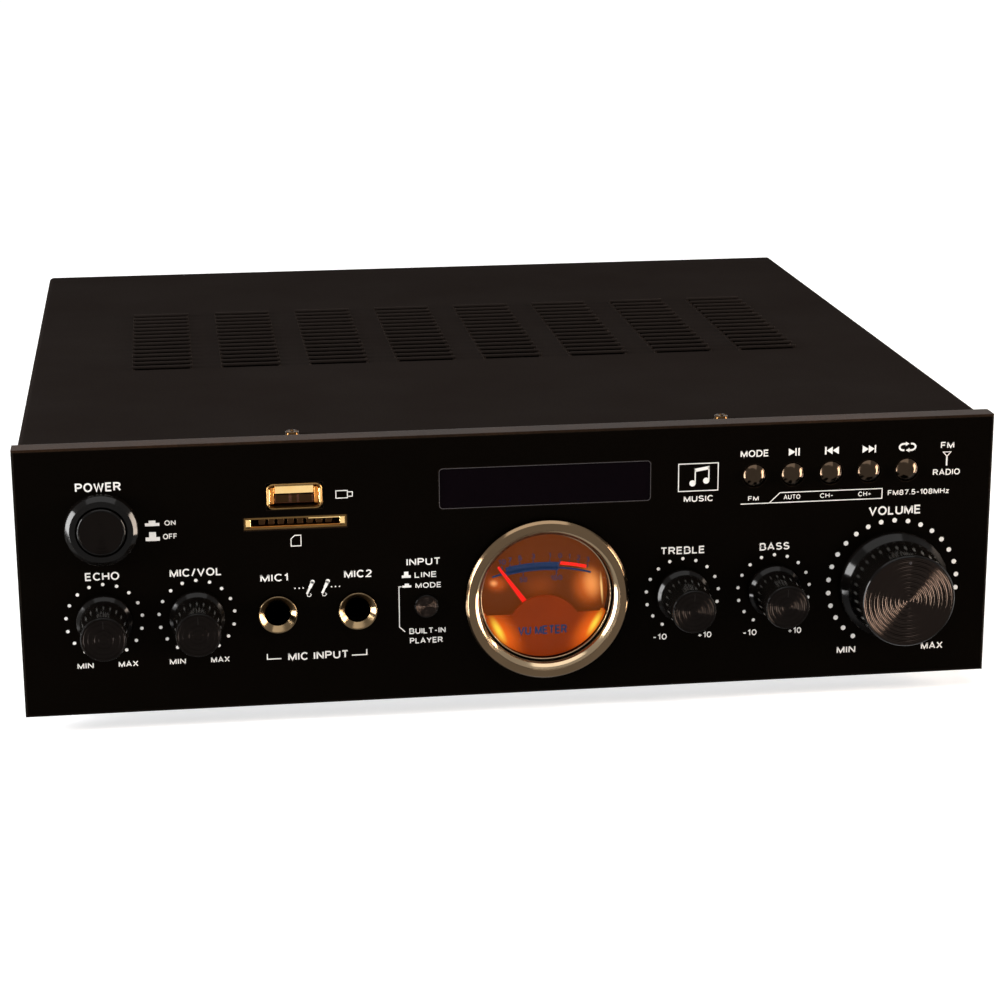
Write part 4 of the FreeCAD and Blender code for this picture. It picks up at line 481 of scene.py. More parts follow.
# Each finish: colour, roughness, grain, its depth, and what differs from the plain finish.
FINISHES = {
    # On the front panel the warm edge colour is a painted highlight, the warm top-face dust a
    # painted sheen.
    "panel_gloss_black": ((0.0017, 0.0012, 0.0008), 0.22, 1.2, 0.004, dict(
        specular=0.010, gleam=(1.0, 0.78, 0.62), smudge=0.12, edge=0.5, wear_and_sheen=0.5,
        worn_and_sheen=(0.05, 0.036, 0.027), dust_and_sheen=0.06, dust_and_sheen_colour=(0.34, 0.16, 0.08))),
    # On the cover the lighter edge colour is a painted highlight along the louvre lips and other
    # edges.
    "cover_powder_paint": ((0.0118, 0.0088, 0.0077), 0.66, 0.55, 0.05, dict(
        specular=0.0, patch=60.0, edge=0.35, wear_and_sheen=0.55, worn_and_sheen=(0.07, 0.055, 0.045), dust_and_sheen=0.01)),
    # Lighter, glossier copy of the cover paint: painted sheen on the louvre lips.
    "cover_lip_painted_sheen": ((0.0150, 0.0117, 0.0103), 0.5, 0.5, 0.03, dict(
        specular=0.04, edge=0.1, worn_and_sheen=(0.05, 0.04, 0.034))),
    "rear_paint": ((0.010, 0.009, 0.009), 0.55, 0.5, 0.04, dict(
        specular=0.03, wear_and_sheen=0.4, dust_and_sheen=0.03)),
    "zinc_sheet": ((0.52, 0.53, 0.54), 0.38, 3.0, 0.01, dict(
        METAL, second=(0.40, 0.41, 0.43), patch=14.0, smudge=0.2, wear_and_sheen=0.2)),
    "yellow_zinc": ((0.052, 0.027, 0.009), 0.18, 0.25, 0.004, dict(
        METAL, second=(0.04, 0.020, 0.007), patch=1.5, edge=0.05, wear_and_sheen=0.05,
        worn_and_sheen=(0.4, 0.26, 0.12))),
    "foot_rubber": ((0.012, 0.012, 0.012), 0.78, 0.35, 0.05, dict(
        specular=0.3, wear_and_sheen=0.2, dust_and_sheen=0.1)),
    "knob_gloss_black": ((0.0026, 0.0021, 0.0018), 0.12, 0.8, 0.0003, dict(
        GLOSSY, smudge=0.05, ior=1.17)),
    "knob_spun_face": ((0.0085, 0.0066, 0.0057), 0.22, 0.2, 0.0005, dict(
        SPUN, second=(0.0068, 0.0053, 0.0047), patch=4.0)),
    "volume_spun_face": ((0.0195, 0.0140, 0.0115), 0.18, 0.2, 0.0005, dict(
        SPUN, second=(0.0165, 0.0120, 0.0098), patch=5.0)),
    "shaft_steel": ((0.55, 0.54, 0.52), 0.3, 0.4, 0.005, METAL),
    "pot_plating": ((0.48, 0.47, 0.44), 0.36, 1.0, 0.01, METAL),
    "board_resin": ((0.035, 0.085, 0.03), 0.42, 0.4, 0.02, dict(
        second=(0.028, 0.07, 0.028), smudge=0.15)),
    "component_black": ((0.012, 0.012, 0.013), 0.5, 0.25, 0.02, dict(specular=0.35)),
    "button_chrome": ((0.038, 0.026, 0.017), 0.13, 0.5, 0.0006, dict(
        METAL, second=(0.030, 0.020, 0.013), patch=2.0, smudge=0.04, edge=0.1, wear_and_sheen=0.1,
        worn_and_sheen=(0.4, 0.3, 0.2))),
    "ring_gloss_black": ((0.0024, 0.0019, 0.0016), 0.11, 1.0, 0.0005, dict(
        GLOSSY, specular=0.55, smudge=0.04, ior=1.19)),
    "jack_chrome": ((0.125, 0.086, 0.047), 0.17, 0.4, 0.001, dict(
        METAL, second=(0.085, 0.058, 0.030), patch=2.0, smudge=0.05, edge=0.12, wear_and_sheen=0.2,
        worn_and_sheen=(0.6, 0.48, 0.32))),
    # Near black without gloss: painted shade inside the jack bores.
    "jack_bore_painted_shade": ((0.0008, 0.0007, 0.0006), 0.6, 0.25, 0.01, dict(specular=0.0)),
    # Brighter copy of the bezel chrome: a painted highlight.
    "bezel_painted_highlight": ((0.27, 0.20, 0.125), 0.16, 0.5, 0.002, dict(
        METAL, second=(0.22, 0.16, 0.10), patch=5.0, smudge=0.06, edge=0.1,
        worn_and_sheen=(0.7, 0.56, 0.4))),
    "bezel_chrome": ((0.120, 0.080, 0.046), 0.14, 0.5, 0.002, dict(
        METAL, second=(0.095, 0.063, 0.036), patch=9.0, smudge=0.06, edge=0.15,
        worn_and_sheen=(0.5, 0.38, 0.26))),
    "window_dark": ((0.0024, 0.0013, 0.0022), 0.14, 2.0, 0.002, dict(
        specular=0.008, smudge=0.08, edge=0.15, wear_and_sheen=0.2)),
    "meter_case_black": ((0.02, 0.011, 0.007), 0.45, 0.4, 0.02, dict(specular=0.3)),
    "magnet_metal": ((0.3, 0.29, 0.27), 0.45, 0.4, 0.02, METAL),
    "contact_dark": ((0.038, 0.018, 0.007), 0.3, 0.2, 0.003, dict(METAL, patch=2.0, edge=0.1)),
    "tongue_brown": ((0.10, 0.032, 0.012), 0.4, 0.3, 0.004, dict(
        specular=0.2, patch=3.0, edge=0.1)),
    "slot_plated_steel": ((0.16, 0.09, 0.03), 0.3, 0.3, 0.004, dict(
        METAL, second=(0.09, 0.05, 0.018), patch=4.0, edge=0.12, wear_and_sheen=0.5,
        worn_and_sheen=(0.5, 0.35, 0.15))),
    # Brighter copies of the socket plating: painted sheen, then painted highlight.
    "plating_painted_sheen": ((0.62, 0.26, 0.06), 0.3, 0.3, 0.003, dict(
        METAL, second=(0.42, 0.15, 0.03), patch=1.5, edge=0.1, wear_and_sheen=0.2)),
    "plating_painted_highlight": ((1.0, 0.74, 0.34), 0.2, 0.3, 0.003, dict(
        METAL, second=(0.92, 0.56, 0.20), patch=3.0, edge=0.1, worn_and_sheen=(1.0, 0.92, 0.7))),
    "display_black": ((0.004, 0.004, 0.005), 0.3, 0.4, 0.01, {}),
    "core_laminations": ((0.16, 0.14, 0.12), 0.5, 0.5, 0.06, dict(metallic=0.7)),
    "winding_tape": ((0.35, 0.24, 0.05), 0.45, 0.8, 0.05, dict(second=(0.28, 0.18, 0.04))),
    "heatsink_aluminium": ((0.55, 0.56, 0.57), 0.4, 0.3, 0.02, METAL),
    "lever_red": ((0.38, 0.012, 0.008), 0.34, 0.4, 0.01, {}),
    "lever_black": ((0.014, 0.014, 0.014), 0.36, 0.4, 0.01, {}),
    "phono_nickel": ((0.62, 0.60, 0.56), 0.24, 0.4, 0.004, METAL),
    "phono_red": ((0.45, 0.015, 0.012), 0.35, 0.4, 0.008, {}),
    "phono_white": ((0.78, 0.77, 0.74), 0.35, 0.4, 0.008, {}),
    "print_white": ((0.80, 0.785, 0.76), 0.5, 0.15, 0.004, dict(
        UNWORN, specular=0.3, second=(0.75, 0.735, 0.71), patch=3.0)),
    "print_grey": ((0.055, 0.050, 0.052), 0.4, 0.15, 0.004, dict(UNWORN, specular=0.1)),
    "print_dim": ((0.0085, 0.007, 0.0065), 0.4, 0.15, 0.002, dict(UNWORN, specular=0.03)),
}

build_effects()
LOOK = {name: finish(name, *basic, **more) for name, (*basic, more) in FINISHES.items()}
METER = axis_of("meter_dial")


def painted_glow_spot(nodes, offset, turn, half):
    """Painted light that fades over an ellipse: (1 - d^2)^3, where d is the distance in half-widths
    from a centre at an offset from the meter's middle, along axes turned about y."""
    place = placed([(METER[0] + offset[0], 0, METER[1] + offset[1])])[0]
    local = nodes.add("Mapping", {
        "Vector": nodes.add("TexCoord").outputs["Object"], "Location": (place[0], 0, place[2]),
        "Rotation": (0, np.radians(turn), 0), "Scale": (half[0] / 1000, 1000, half[1] / 1000),
    }, vector_type="TEXTURE")
    distance = nodes.add("VectorMath", {0: local.outputs[0]}, operation="LENGTH")
    square = nodes.math("POWER", distance.outputs["Value"], 2.0)
    return nodes.math("POWER", nodes.math("SUBTRACT", 1.0, square, clamp=True), 3.0)


def painted_glow_card(name, colour, light, spots=(), gain=1.0):
    """Tinted card with painted light: a patchy base glow with brighter painted spots, standing in
    for the meter's lamps shining through it.

    A spot is (offset, turn, half-widths, colour, strength)."""
    material, nodes, surface = shader(name)
    grain = nodes.speckle(0.35, 2.0)
    tint = nodes.mix(nodes.speckle(9.0, 3.0), (*light, 1), (*[0.72 * c for c in light], 1))
    for offset, turn, half, spot_colour, strength in spots:
        share = nodes.math("MULTIPLY", painted_glow_spot(nodes, offset, turn, half), strength, clamp=True)
        tint = nodes.mix(share, tint, (*spot_colour, 1))
    nodes.fill(surface, {
        "Base Color": (*colour, 1), "Roughness": nodes.math("MULTIPLY_ADD", grain, 0.2, 0.4),
        "Emission Color": tint, "Emission Strength": gain, "Specular IOR Level": 0.03,
        "Normal": nodes.add("Bump", {"Height": grain, "Distance": 0.00001}).outputs[0],
    })
    return material


# Painted light: dial, mask, needle and scale prints glow, in brighter pools by the meter's lamps.
LOOK["dial_amber"] = painted_glow_card("dial_amber", (0.025, 0.007, 0.002), (0.125, 0.026, 0.004), [
    ((12.3, 0.9), -10, (6.5, 8.0), (0.62, 0.12, 0.014), 0.95),
    ((13.2, 1.6), -10, (3.6, 6.2), (1.0, 0.40, 0.11), 0.7),
    ((15.9, 0.2), -4, (0.55, 6.0), (1.0, 0.62, 0.22), 1.0),
    ((-12.6, 2.6), 15, (4.6, 3.6), (0.50, 0.08, 0.01), 0.9),
    ((-13.4, 2.7), 15, (1.7, 1.4), (1.0, 0.42, 0.14), 0.8),
    ((-1.0, 1.5), 0, (7.0, 5.0), (0.26, 0.05, 0.007), 0.6),
])
LOOK["mask_amber"] = painted_glow_card("mask_amber", (0.04, 0.008, 0.002), (0.205, 0.024, 0.002), [
    ((-11.4, -10.6), -33, (5.6, 11.5), (0.80, 0.12, 0.006), 1.0),
    ((-12.6, -9.6), -28, (1.7, 6.0), (1.0, 0.72, 0.06), 1.0),
    ((12.4, -10.0), 34, (5.4, 11.5), (0.80, 0.12, 0.006), 1.0),
    ((13.6, -8.8), 30, (1.5, 5.6), (1.0, 0.70, 0.06), 1.0),
])
for look, colour, light, gain in (
    ("needle_red", (0.5, 0.01, 0.01), (0.72, 0.012, 0.005), 1.0),
    ("lamp_glass", (0.9, 0.7, 0.4), (1.0, 0.55, 0.16), 1.6),
    ("scale_blue", (0.01, 0.015, 0.04), (0.010, 0.024, 0.066), 1.0),
    ("scale_red", (0.5, 0.01, 0.01), (1.0, 0.02, 0.008), 0.9),
):
    LOOK[look] = painted_glow_card(look, colour, light, gain=gain)


def clear_lens():
    material, nodes, surface = shader("clear_lens")
    nodes.fill(surface, {
        "Base Color": (1.0, 0.985, 0.97, 1), "Transmission Weight": 1.0, "IOR": 1.06,
        "Specular IOR Level": 0.05,
        "Roughness": nodes.math("MULTIPLY_ADD", nodes.speckle(6.0, 5.0), 0.03, 0.0),
    })
    return material


LOOK["clear_lens"] = clear_lens()


# Knobs

SKIRT_BACK = -1.0
SHAFT_BORE = 3.1
HUB_END = SKIRT_BACK - 11.0


def spun_face(centre, radius, front, pitch, segments=96, lean=31, land=0.0):
    """A closed disc with V grooves a pitch apart.

    Each groove falls from the front with a slope of lean to lean + 10 degrees, which changes from
    groove to groove, and comes back to the front. The land is the flat ring between two grooves,
    as a share of the pitch."""
    count = int(radius / pitch)
    peaks = radius - pitch * (count - np.arange(count))
    slope = np.radians(lean + 10 * np.mod(np.arange(count) * 0.618, 1.0))
    half = pitch * (1 - land) / 2
    groove = [(peaks, 0 * slope), (peaks + half, half * np.tan(slope))]
    if land:
        groove.append((peaks + 2 * half, 0 * slope))
    points = np.transpose(groove, (2, 0, 1)).reshape(-1, 2) + (0.0, front)
    rest = [(radius, front), (radius + 0.02, front + 0.3), (0.0, front + 0.3)]
    return turned(centre, [(0.0, front), *points.tolist(), *rest], segments)


def knob_body(node, body, rim, flank, floor, segments=96):
    """A thin rim round the face, a grip that widens in a short flare of 47 to 50 degrees to the
    skirt, and a bore for the shaft. The rim's depths count from the knob's front."""
    front = reach(node)[0][1]
    rim = [(radius, front + depth, *ease) for radius, depth, *ease in rim]
    inside = [(SHAFT_BORE, SKIRT_BACK), (SHAFT_BORE, HUB_END), (floor, HUB_END), (floor, rim[0][1])]
    shell = turned(axis_of(node), eased([*rim, *flank, *inside, rim[0]]), segments)
    piece(node + "_body", shell, LOOK["knob_gloss_black"], body, [node])
    return axis_of(node), front


def small_knob(name):
    """A skirted knob with a face of fine grooves and a line as its mark."""
    node, body = name + "_knob", name + "_control"
    (x, z), front = knob_body(
        node, body, [(5.62, 0.3), (5.64, 0.0, 0.03), (5.72, 0.0, 0.04), (5.98, 0.45, 0.25)],
        [(6.22, -3.3, 0.25), (7.2, -2.25, 0.15), (7.3, -2.0, 0.1), (7.3, SKIRT_BACK, 0.15)], 5.0)
    face = spun_face((x, z), 5.60, front + 0.04, 0.56, lean=27, land=0.45)
    piece(node + "_face", face, LOOK["knob_spun_face"], body, sharp=20)
    mark = line([(x, z + 2.9), (x, z + 4.9)], 0.32)
    printed(node + "_mark", [mark], front + 0.05, LOOK["print_dim"], body)


def volume_knob():
    """The large knob, with a disc of real spun grooves in its face and a dot as its mark."""
    node, body = "volume_knob", "volume_control"
    (x, z), front = knob_body(
        node, body, [(12.2, 0.6), (12.22, 0.0, 0.03), (12.32, 0.0, 0.05), (12.7, 0.5, 0.35)],
        [(13.15, -4.5, 0.4), (14.85, -2.5, 0.25), (15.0, -2.1, 0.12), (15.0, SKIRT_BACK, 0.2)],
        11.0, 160)
    disc = spun_face((x, z), 12.17, front + 0.05, 0.44, 192)
    piece(node + "_disc", disc, LOOK["volume_spun_face"], body, sharp=20)
    printed(node + "_mark", [dot(x, z + 10.6, 0.42)], front + 0.10, LOOK["print_grey"], body)


for knob_name in KNOBS:
    small_knob(knob_name)
volume_knob()


# Power button, input button and the five keys

CAP_BACK = 3.0


def power_ring():
    """A glossy ring: a round crest, and a flank that leans back by 42 degrees."""
    node = "power_button_ring"
    low = reach(node)[0][1]
    profile = eased([
        (6.3, 3.0), (6.3, -2.3, 0.5), (6.75, -3.1, 0.4), (7.45, -3.5, 0.5), (8.0, -3.14, 0.3),
        (9.4, -1.88, 0.3), (9.7, -0.9, 0.4), (9.7, -0.02, 0.1), (7.5, -0.02), (7.5, 3.0),
        (6.3, 3.0),
    ], 8)
    shell = turned(axis_of(node), [(radius, max(y, low)) for radius, y in profile], 160)
    piece("power_ring", shell, LOOK["ring_gloss_black"], stands_for=[node])


def round_button(name, radius, stem, look, edge, lean):
    """A round cap with a spun face inside an eased edge, and a square stem."""
    x, z = axis_of(name)
    (_, front, _), (_, back, _) = reach(name)
    brim = radius - 2 * edge
    cap = turned((x, z), eased([
        (brim, front + 0.4), (brim, front + 0.02, 0.02), (radius - edge, front, 0.1),
        (radius, front + edge, 0.15), (radius, CAP_BACK, 0.1), (0, CAP_BACK), (0, front + 0.4),
        (brim, front + 0.4),
    ]))
    rod = slab(about(x, stem / 2), (CAP_BACK, back), about(z, stem / 2), 0.3, 0.2)
    shell = joined([cap, rod])
    piece(name + "_cap", shell, LOOK["knob_gloss_black"], name, [name])
    face = spun_face((x, z), brim - 0.03, front + 0.05, 0.25, lean=lean)
    piece(name + "_face", face, LOOK[look], name, sharp=20)


def key_button(name):
    """A domed bright cap on a square flange, with a stem to its switch.

    The dome's slope grows along its radius, slowly near 36 and 46 degrees, and its depth is the
    running sum of the slope's tangent times the step in radius."""
    node = name + "_button"
    x, z = axis_of(node)
    (_, front, _), (_, back, _) = reach(node)
    radius = np.linspace(0, 3.2, 40)
    slope = np.interp(radius, [0, 1.3, 1.8, 2.45, 2.6, 3.2], [0, 18, 33.5, 39, 43.5, 48.5])
    rise = np.tan(np.radians(slope))
    depth = np.concatenate([[0], np.cumsum((rise[1:] + rise[:-1]) / 2 * np.diff(radius))])
    dome = np.stack([radius, front + depth], -1)
    cap = turned((x, z), [*dome, (3.2, 3.05), (0, 3.05)])
    flange = slab(about(x, 4), (3.05, 4.05), about(z, 4), 0.4, 0.1)
    stem = slab(about(x, 1.2), (4.05, back), about(z, 1.2), 0.2, 0.1)
    shell = joined([cap, flange, stem])
    piece(node + "_cap", shell, LOOK["button_chrome"], node, [node])


power_ring()
round_button("power_button", 6.25, 4.0, "knob_spun_face", 0.28, 12)
round_button("input_button", 3.15, 3.0, "volume_spun_face", 0.12, 31)
for key_name in KEYS:
    key_button(key_name)


# Microphone jacks

JACK_X = (-63.2, -42.1)
JACK_HALF = 7.5


def bored_block(centre, z_range, y_range, bore_radius, bore_floor):
    """A block with round corners and a blind round hole in its front.

    Its rows run from the hole's floor along the hole's wall, over the front face to the block's
    outline, and along that to the back; a hole point has the same angle as its outline point."""
    outline = rounded_outline(2 * JACK_HALF, z_range[1] - z_range[0], 0.6, 12)
    outline = outline + (0, sum(z_range) / 2 - centre[1])
    angle = np.arctan2(outline[:, 1], outline[:, 0])
    hole = bore_radius * np.stack([np.cos(angle), np.sin(angle)], -1)
    front, back = y_range
    rows = [(0 * hole, bore_floor), (hole, bore_floor), (hole, front)]
    rows += [(outline, front), (outline, back), (0 * hole, back)]
    return grid_shell(np.array([np.insert(ring + centre, 1, y, axis=1) for ring, y in rows]))


def microphone_jacks():
    """Each jack: a bored black body, a sleeve painted near black without gloss as painted shade in
    the bore, and a bright bushing with a funnel mouth that widens at 42 degrees."""
    (_, _, z0), (_, back, z1) = reach("mic_jacks")
    z = axis_of("mic_jack_nuts")[1]
    funnel = eased([
        (3.2, 1.4), (3.22, 0.35, 0.1), (3.38, 0.08, 0.1), (4.8, -1.18, 0.15), (4.98, -1.28, 0.1),
        (5.12, -1.1, 0.12), (5.2, -0.5, 0.2), (5.2, -0.02), (4.4, -0.02), (4.4, 6.0), (3.2, 6.0),
        (3.2, 1.4),
    ], 6)
    well = [(3.18, 1.6), (3.3, 6.0), (4.4, 6.0), (4.4, 20.0), (0, 20.0), (0, 19.0), (3.18, 19.0),
            (3.18, 1.6)]
    for number, x in enumerate(JACK_X):
        name = f"mic_jack_{number + 1}"
        piece(name + "_bushing", turned((x, z), funnel, 128), LOOK["jack_chrome"],
              stands_for=[] if number else ["mic_jack_nuts", "mic_jacks"])
        piece(name + "_well", turned((x, z), well, 48), LOOK["jack_bore_painted_shade"])
        z_range = max(z0, z - JACK_HALF), min(z1, z + JACK_HALF)
        body = bored_block((x, z), z_range, (7.4, back), 4.45, 20.2)
        piece(name + "_body", body, LOOK["component_black"])


microphone_jacks()


# Level meter

BEZEL_RING = [
    (19.35, -0.02), (19.35, -2.8), (19.5, -2.93, 0.05), (19.9, -2.98, 0.2), (20.95, -2.98, 0.3),
    (21.35, -2.8, 0.2), (22.05, -1.95, 0.2), (22.1, -1.6, 0.1), (22.1, -0.02), (19.35, -0.02),
]
BEZEL_BEVEL = [
    (18.0, -0.02), (18.0, -1.40, 0.1), (18.22, -1.68, 0.1), (18.75, -2.23, 0.12), (19.34, -2.67),
    (19.34, -0.02), (18.0, -0.02),
]
LENS_RING = [(17.3, 1.38), (17.35, 0.85, 0.2), (17.8, 0.85, 0.2), (17.9, 1.38), (17.3, 1.38)]
LENS_RADIUS = 18.4
LENS_CROWN = 0.5
NEEDLE_TAIL = -0.17


def meter_rings():
    """A ring with a bevel outside and a flat crown, a bevel inside, of 46 degrees and then 37, and
    a thin ring that holds the lens; the inner bevel and the lens ring have a painted highlight."""
    for name, profile, segments, look, nodes in (
        ("meter_bezel_ring", BEZEL_RING, 192, "bezel_chrome", ["meter_bezel"]),
        ("meter_bezel_bevel", BEZEL_BEVEL, 192, "bezel_painted_highlight", []),
        ("meter_lens_ring", LENS_RING, 160, "bezel_painted_highlight", []),
    ):
        piece(name, turned(METER, eased(profile, 6), segments), LOOK[look],
              stands_for=nodes)


def meter_lens():
    """A clear disc, crowned at its middle: its depth grows with the square of the radius."""
    low, high = reach("meter_lens")
    share = np.linspace(0, 1, 16)
    crown = [(LENS_RADIUS * s, low[1] + LENS_CROWN * s ** 2) for s in share]
    rest = eased([(LENS_RADIUS, low[1] + LENS_CROWN), (18.9, low[1] + 0.55, 0.08),
                  (18.9, high[1], 0.1), (0, high[1])])
    piece("meter_lens_glass", turned(METER, [*crown, *rest], 128), LOOK["clear_lens"],
          stands_for=["meter_lens"])


def meter_needle():
    """A flat pointer on a turned hub. Its half width stays the same for a quarter of the way and
    then goes evenly to the tip's; its tail lies behind the hub."""
    (x0, front, z0), (_, back, z1) = reach("meter_needle")
    pivot = np.array((METER[0], z0 + 4.0))
    tip = np.array((x0 + 0.35, z1 - 0.3))
    along = (tip - pivot) / np.linalg.norm(tip - pivot)
    across = np.array((-along[1], along[0]))
    t = np.linspace(NEEDLE_TAIL, 1, 12)
    half = np.interp(t, [NEEDLE_TAIL, 0.0, 0.25, 1], [0.7, 0.8, 0.8, 0.3])
    middle = pivot + np.outer(t, tip - pivot)
    rows = []
    for side, y in ((1, front + 0.05), (-1, front + 0.05), (-1, front + 0.3), (1, front + 0.3)):
        edge = middle + side * half[:, None] * across
        rows.append(np.stack([edge[:, 0], np.full(len(t), y), edge[:, 1]], -1))
    grid = np.stack(rows, 1)
    caps = [end.mean(1, keepdims=True).repeat(4, 1) for end in (grid[:1], grid[-1:])]
    blade = grid_shell(np.concatenate([caps[0], grid, caps[1]]))
    profile = [(0, front), (1.5, front, 0.1), (1.6, front + 0.2, 0.1), (1.6, back), (0, back)]
    hub = turned(tuple(pivot), eased(profile), 48)
    piece("meter_pointer", joined([blade, hub]), LOOK["needle_red"], "meter_needle",
          ["meter_needle"])


meter_rings()
meter_lens()
meter_needle()

SCALE_TOP = 33.5
SCALE_RADIUS = 46.0
UPPER_MARKS = [("10", -2.7, 1.0), ("7", -0.6, 0.5), ("5", 2.1, 0.5), ("3", 5.7, 0.5),
               ("1", 10.2, 0.28), ("0", 13.0, 0.5), ("1", 15.5, 0.28), ("2", 18.0, 0.5),
               ("3", 20.5, 0.5)]
LOWER_MARKS = [("50", 3.0, 1.05), ("100", 12.0, 1.6)]


def scale_curve(x):
    """z of the dial's scale line at x: an arc that tops over the meter's middle."""
    return SCALE_TOP - SCALE_RADIUS + np.sqrt(SCALE_RADIUS ** 2 - (x - METER[0]) ** 2)


def arc(x_from, x_to, rise, width):
    """A stroke parallel to the scale line, raised by the given amount."""
    x = np.linspace(x_from, x_to, 24)
    return line(np.stack([x, scale_curve(x) + rise], -1), width)


def dial_prints():
    """The scale, its numbers and its two colours, and the words on the mask."""
    dial, mask = (reach(node)[0][1] for node in ("meter_dial", "meter_mask"))
    blue = [arc(-5.4, 21.4, -0.35, 0.55), arc(-1.6, 12.6, 0.05, 2.3)]
    for marks, rise, height, low, high in ((UPPER_MARKS, 2.3, 1.45, -1.5, -0.4),
                                           (LOWER_MARKS, -3.9, 1.4, 1.6, 3.2)):
        for text, x, half in marks:
            z = scale_curve(x) + rise
            blue += words(text, about(x, half), (z, z + height), 0.17)
            blue.append(line([(x, z + low), (x, z + high)], 0.26))
    printed("dial_scale", blue, dial, LOOK["scale_blue"])
    printed("dial_red_zone", [arc(13.0, 20.1, 0.95, 0.85)], dial, LOOK["scale_red"])
    title = words("VU METER", (1.1, 14.5), (15.3, 17.8), 0.2)
    printed("mask_words", title, mask, LOOK["scale_blue"])


dial_prints()


# Player sockets and the display window


def frame_shell(centre, outer, inner, y_range):
    """A rectangular sleeve with round corners: outline points on a profile that goes from the
    front edge over the outside to the back and returns inside, with both front edges eased."""
    out, far = (rounded_outline(*size) + centre for size in (outer, inner))
    front, back = y_range
    lip = out + (far - out) * 0.25, out + (far - out) * 0.6
    rows = [(lip[0], front), (out, front + 0.15), (out, back), (far, back), (far, front + 0.5),
            (lip[1], front + 0.05), (lip[0], front)]
    return grid_shell(np.array([np.insert(ring, 1, y, axis=1) for ring, y in rows]))


def flash_drive_socket():
    """A plated shell with flared ends and a leaf above a dark tongue painted bright as a highlight,
    inner sides in a painted sheen, and contacts.
    """
    (x0, y0, z0), (x1, y1, z1) = reach("flash_drive_socket")
    x, z = (x0 + x1) / 2, (z0 + z1) / 2
    sleeve = frame_shell((x, z), (x1 - x0 - 0.1, z1 - z0 - 0.1, 1.6), (12.9, 5.7, 0.9), (y0, y1))
    back = slab(about(x, 6.5), (y1 - 1.0, y1), about(z, 2.8), 0.3, 0.1)
    leaf = slab(about(x, 5.2), (1.5, 9.0), (z + 0.3, z + 2.55), 0.3, 0.25)
    ends = [slab(about(x + side * 6.75, 0.42), (y0 + 0.02, 4.0), (z - 2.0, z + 2.1), 0.4, 0.25)
            for side in (-1, 1)]
    sides = [slab(about(x + side * 5.75, 0.5), (1.2, 9.0), (z - 2.3, z + 2.2), 0.2, 0.15)
             for side in (-1, 1)]
    tongue = slab(about(x, 5.1), (1.4, y1 - 1.0), (z - 2.15, z + 0.1), 0.15, 0.15)
    strips = [slab(about(x + place, half), (1.32, 9.0), (z - 1.95, z + 0.14), 0.2, 0.05)
              for place, half in ((-3.1, 1.7), (0.0, 0.7), (2.9, 1.7))]
    for name, parts, look, nodes in (
        ("shell", [sleeve, back], "slot_plated_steel", ["flash_drive_socket"]),
        ("leaf", [leaf, *ends], "plating_painted_highlight", []),
        ("sides", sides, "plating_painted_sheen", []),
        ("tongue", [tongue], "tongue_brown", []),
        ("contacts", strips, "contact_dark", []),
    ):
        piece("flash_drive_" + name, joined(parts), LOOK[look],
              stands_for=nodes)


def memory_card_slot():
    """A plated frame with folded ends and a top strip painted bright as a highlight, a foot in a
    painted sheen, and a row of springs behind its mouth.
    """
    (x0, y0, z0), (x1, _, z1) = reach("memory_card_slot")
    x, z = (x0 + x1) / 2, (z0 + z1) / 2
    springs = [slab(about(x + (index - 3.5) * 2.5, 0.85), (y0 + 0.7, 14.0), (z - 0.6, z1 - 0.5),
                    0.25, 0.2) for index in range(8)]
    ends = [slab(about(x + side * 12.35, 0.75), (y0 + 0.15, 6.0), (z - 0.9, z1 - 0.5), 0.2, 0.15)
            for side in (-1, 1)]
    strip = slab((x + 3.4, x + 11.8), (y0 + 0.4, 5.0), (z1 - 0.85, z1 - 0.55), 0.1, 0.05)
    foot = slab(about(x, 11.8), (y0 + 0.4, 5.0), (z0 + 0.5, z0 + 0.75), 0.1, 0.05)
    for name, parts, look in (("springs", springs, "contact_dark"),
                              ("ends", [*ends, strip], "plating_painted_highlight"),
                              ("foot", [foot], "plating_painted_sheen")):
        piece("memory_card_" + name, joined(parts), LOOK[look])


def window_edge():
    """The fine bright line where the display window meets the panel."""
    sizes = (56.5, 11.0, 1.0), (56.15, 10.65, 0.83)
    outer, inner = (rounded_outline(*size) + axis_of("display_window") for size in sizes)
    n = len(outer)
    faces = [(k, (k + 1) % n, n + (k + 1) % n, n + k) for k in range(n)]
    ring = np.concatenate([outer, inner]), faces
    printed("display_window_edge", [ring], 0.0, LOOK["print_grey"])


flash_drive_socket()
memory_card_slot()
window_edge()


# Cover

LOUVRE_RISE = 1.3
LOUVRE_COUNT = (8, 15)
LOUVRE_PITCH = (25.95, 5.5)
FIRST_LOUVRE_Y = 96.5
LOUVRE_HALF = 8.72
ROOF = reach("top_cover")[1][2] - LOUVRE_RISE
WALL = reach("top_cover")[1][0]
LIP_SECTION = np.array([
    (-0.06, 1.30), (-0.13, 1.18), (-0.13, 0.78), (-0.02, 0.50),
    (0.14, 0.30), (0.24, 0.34), (0.16, 0.80), (0.06, 1.28),
])


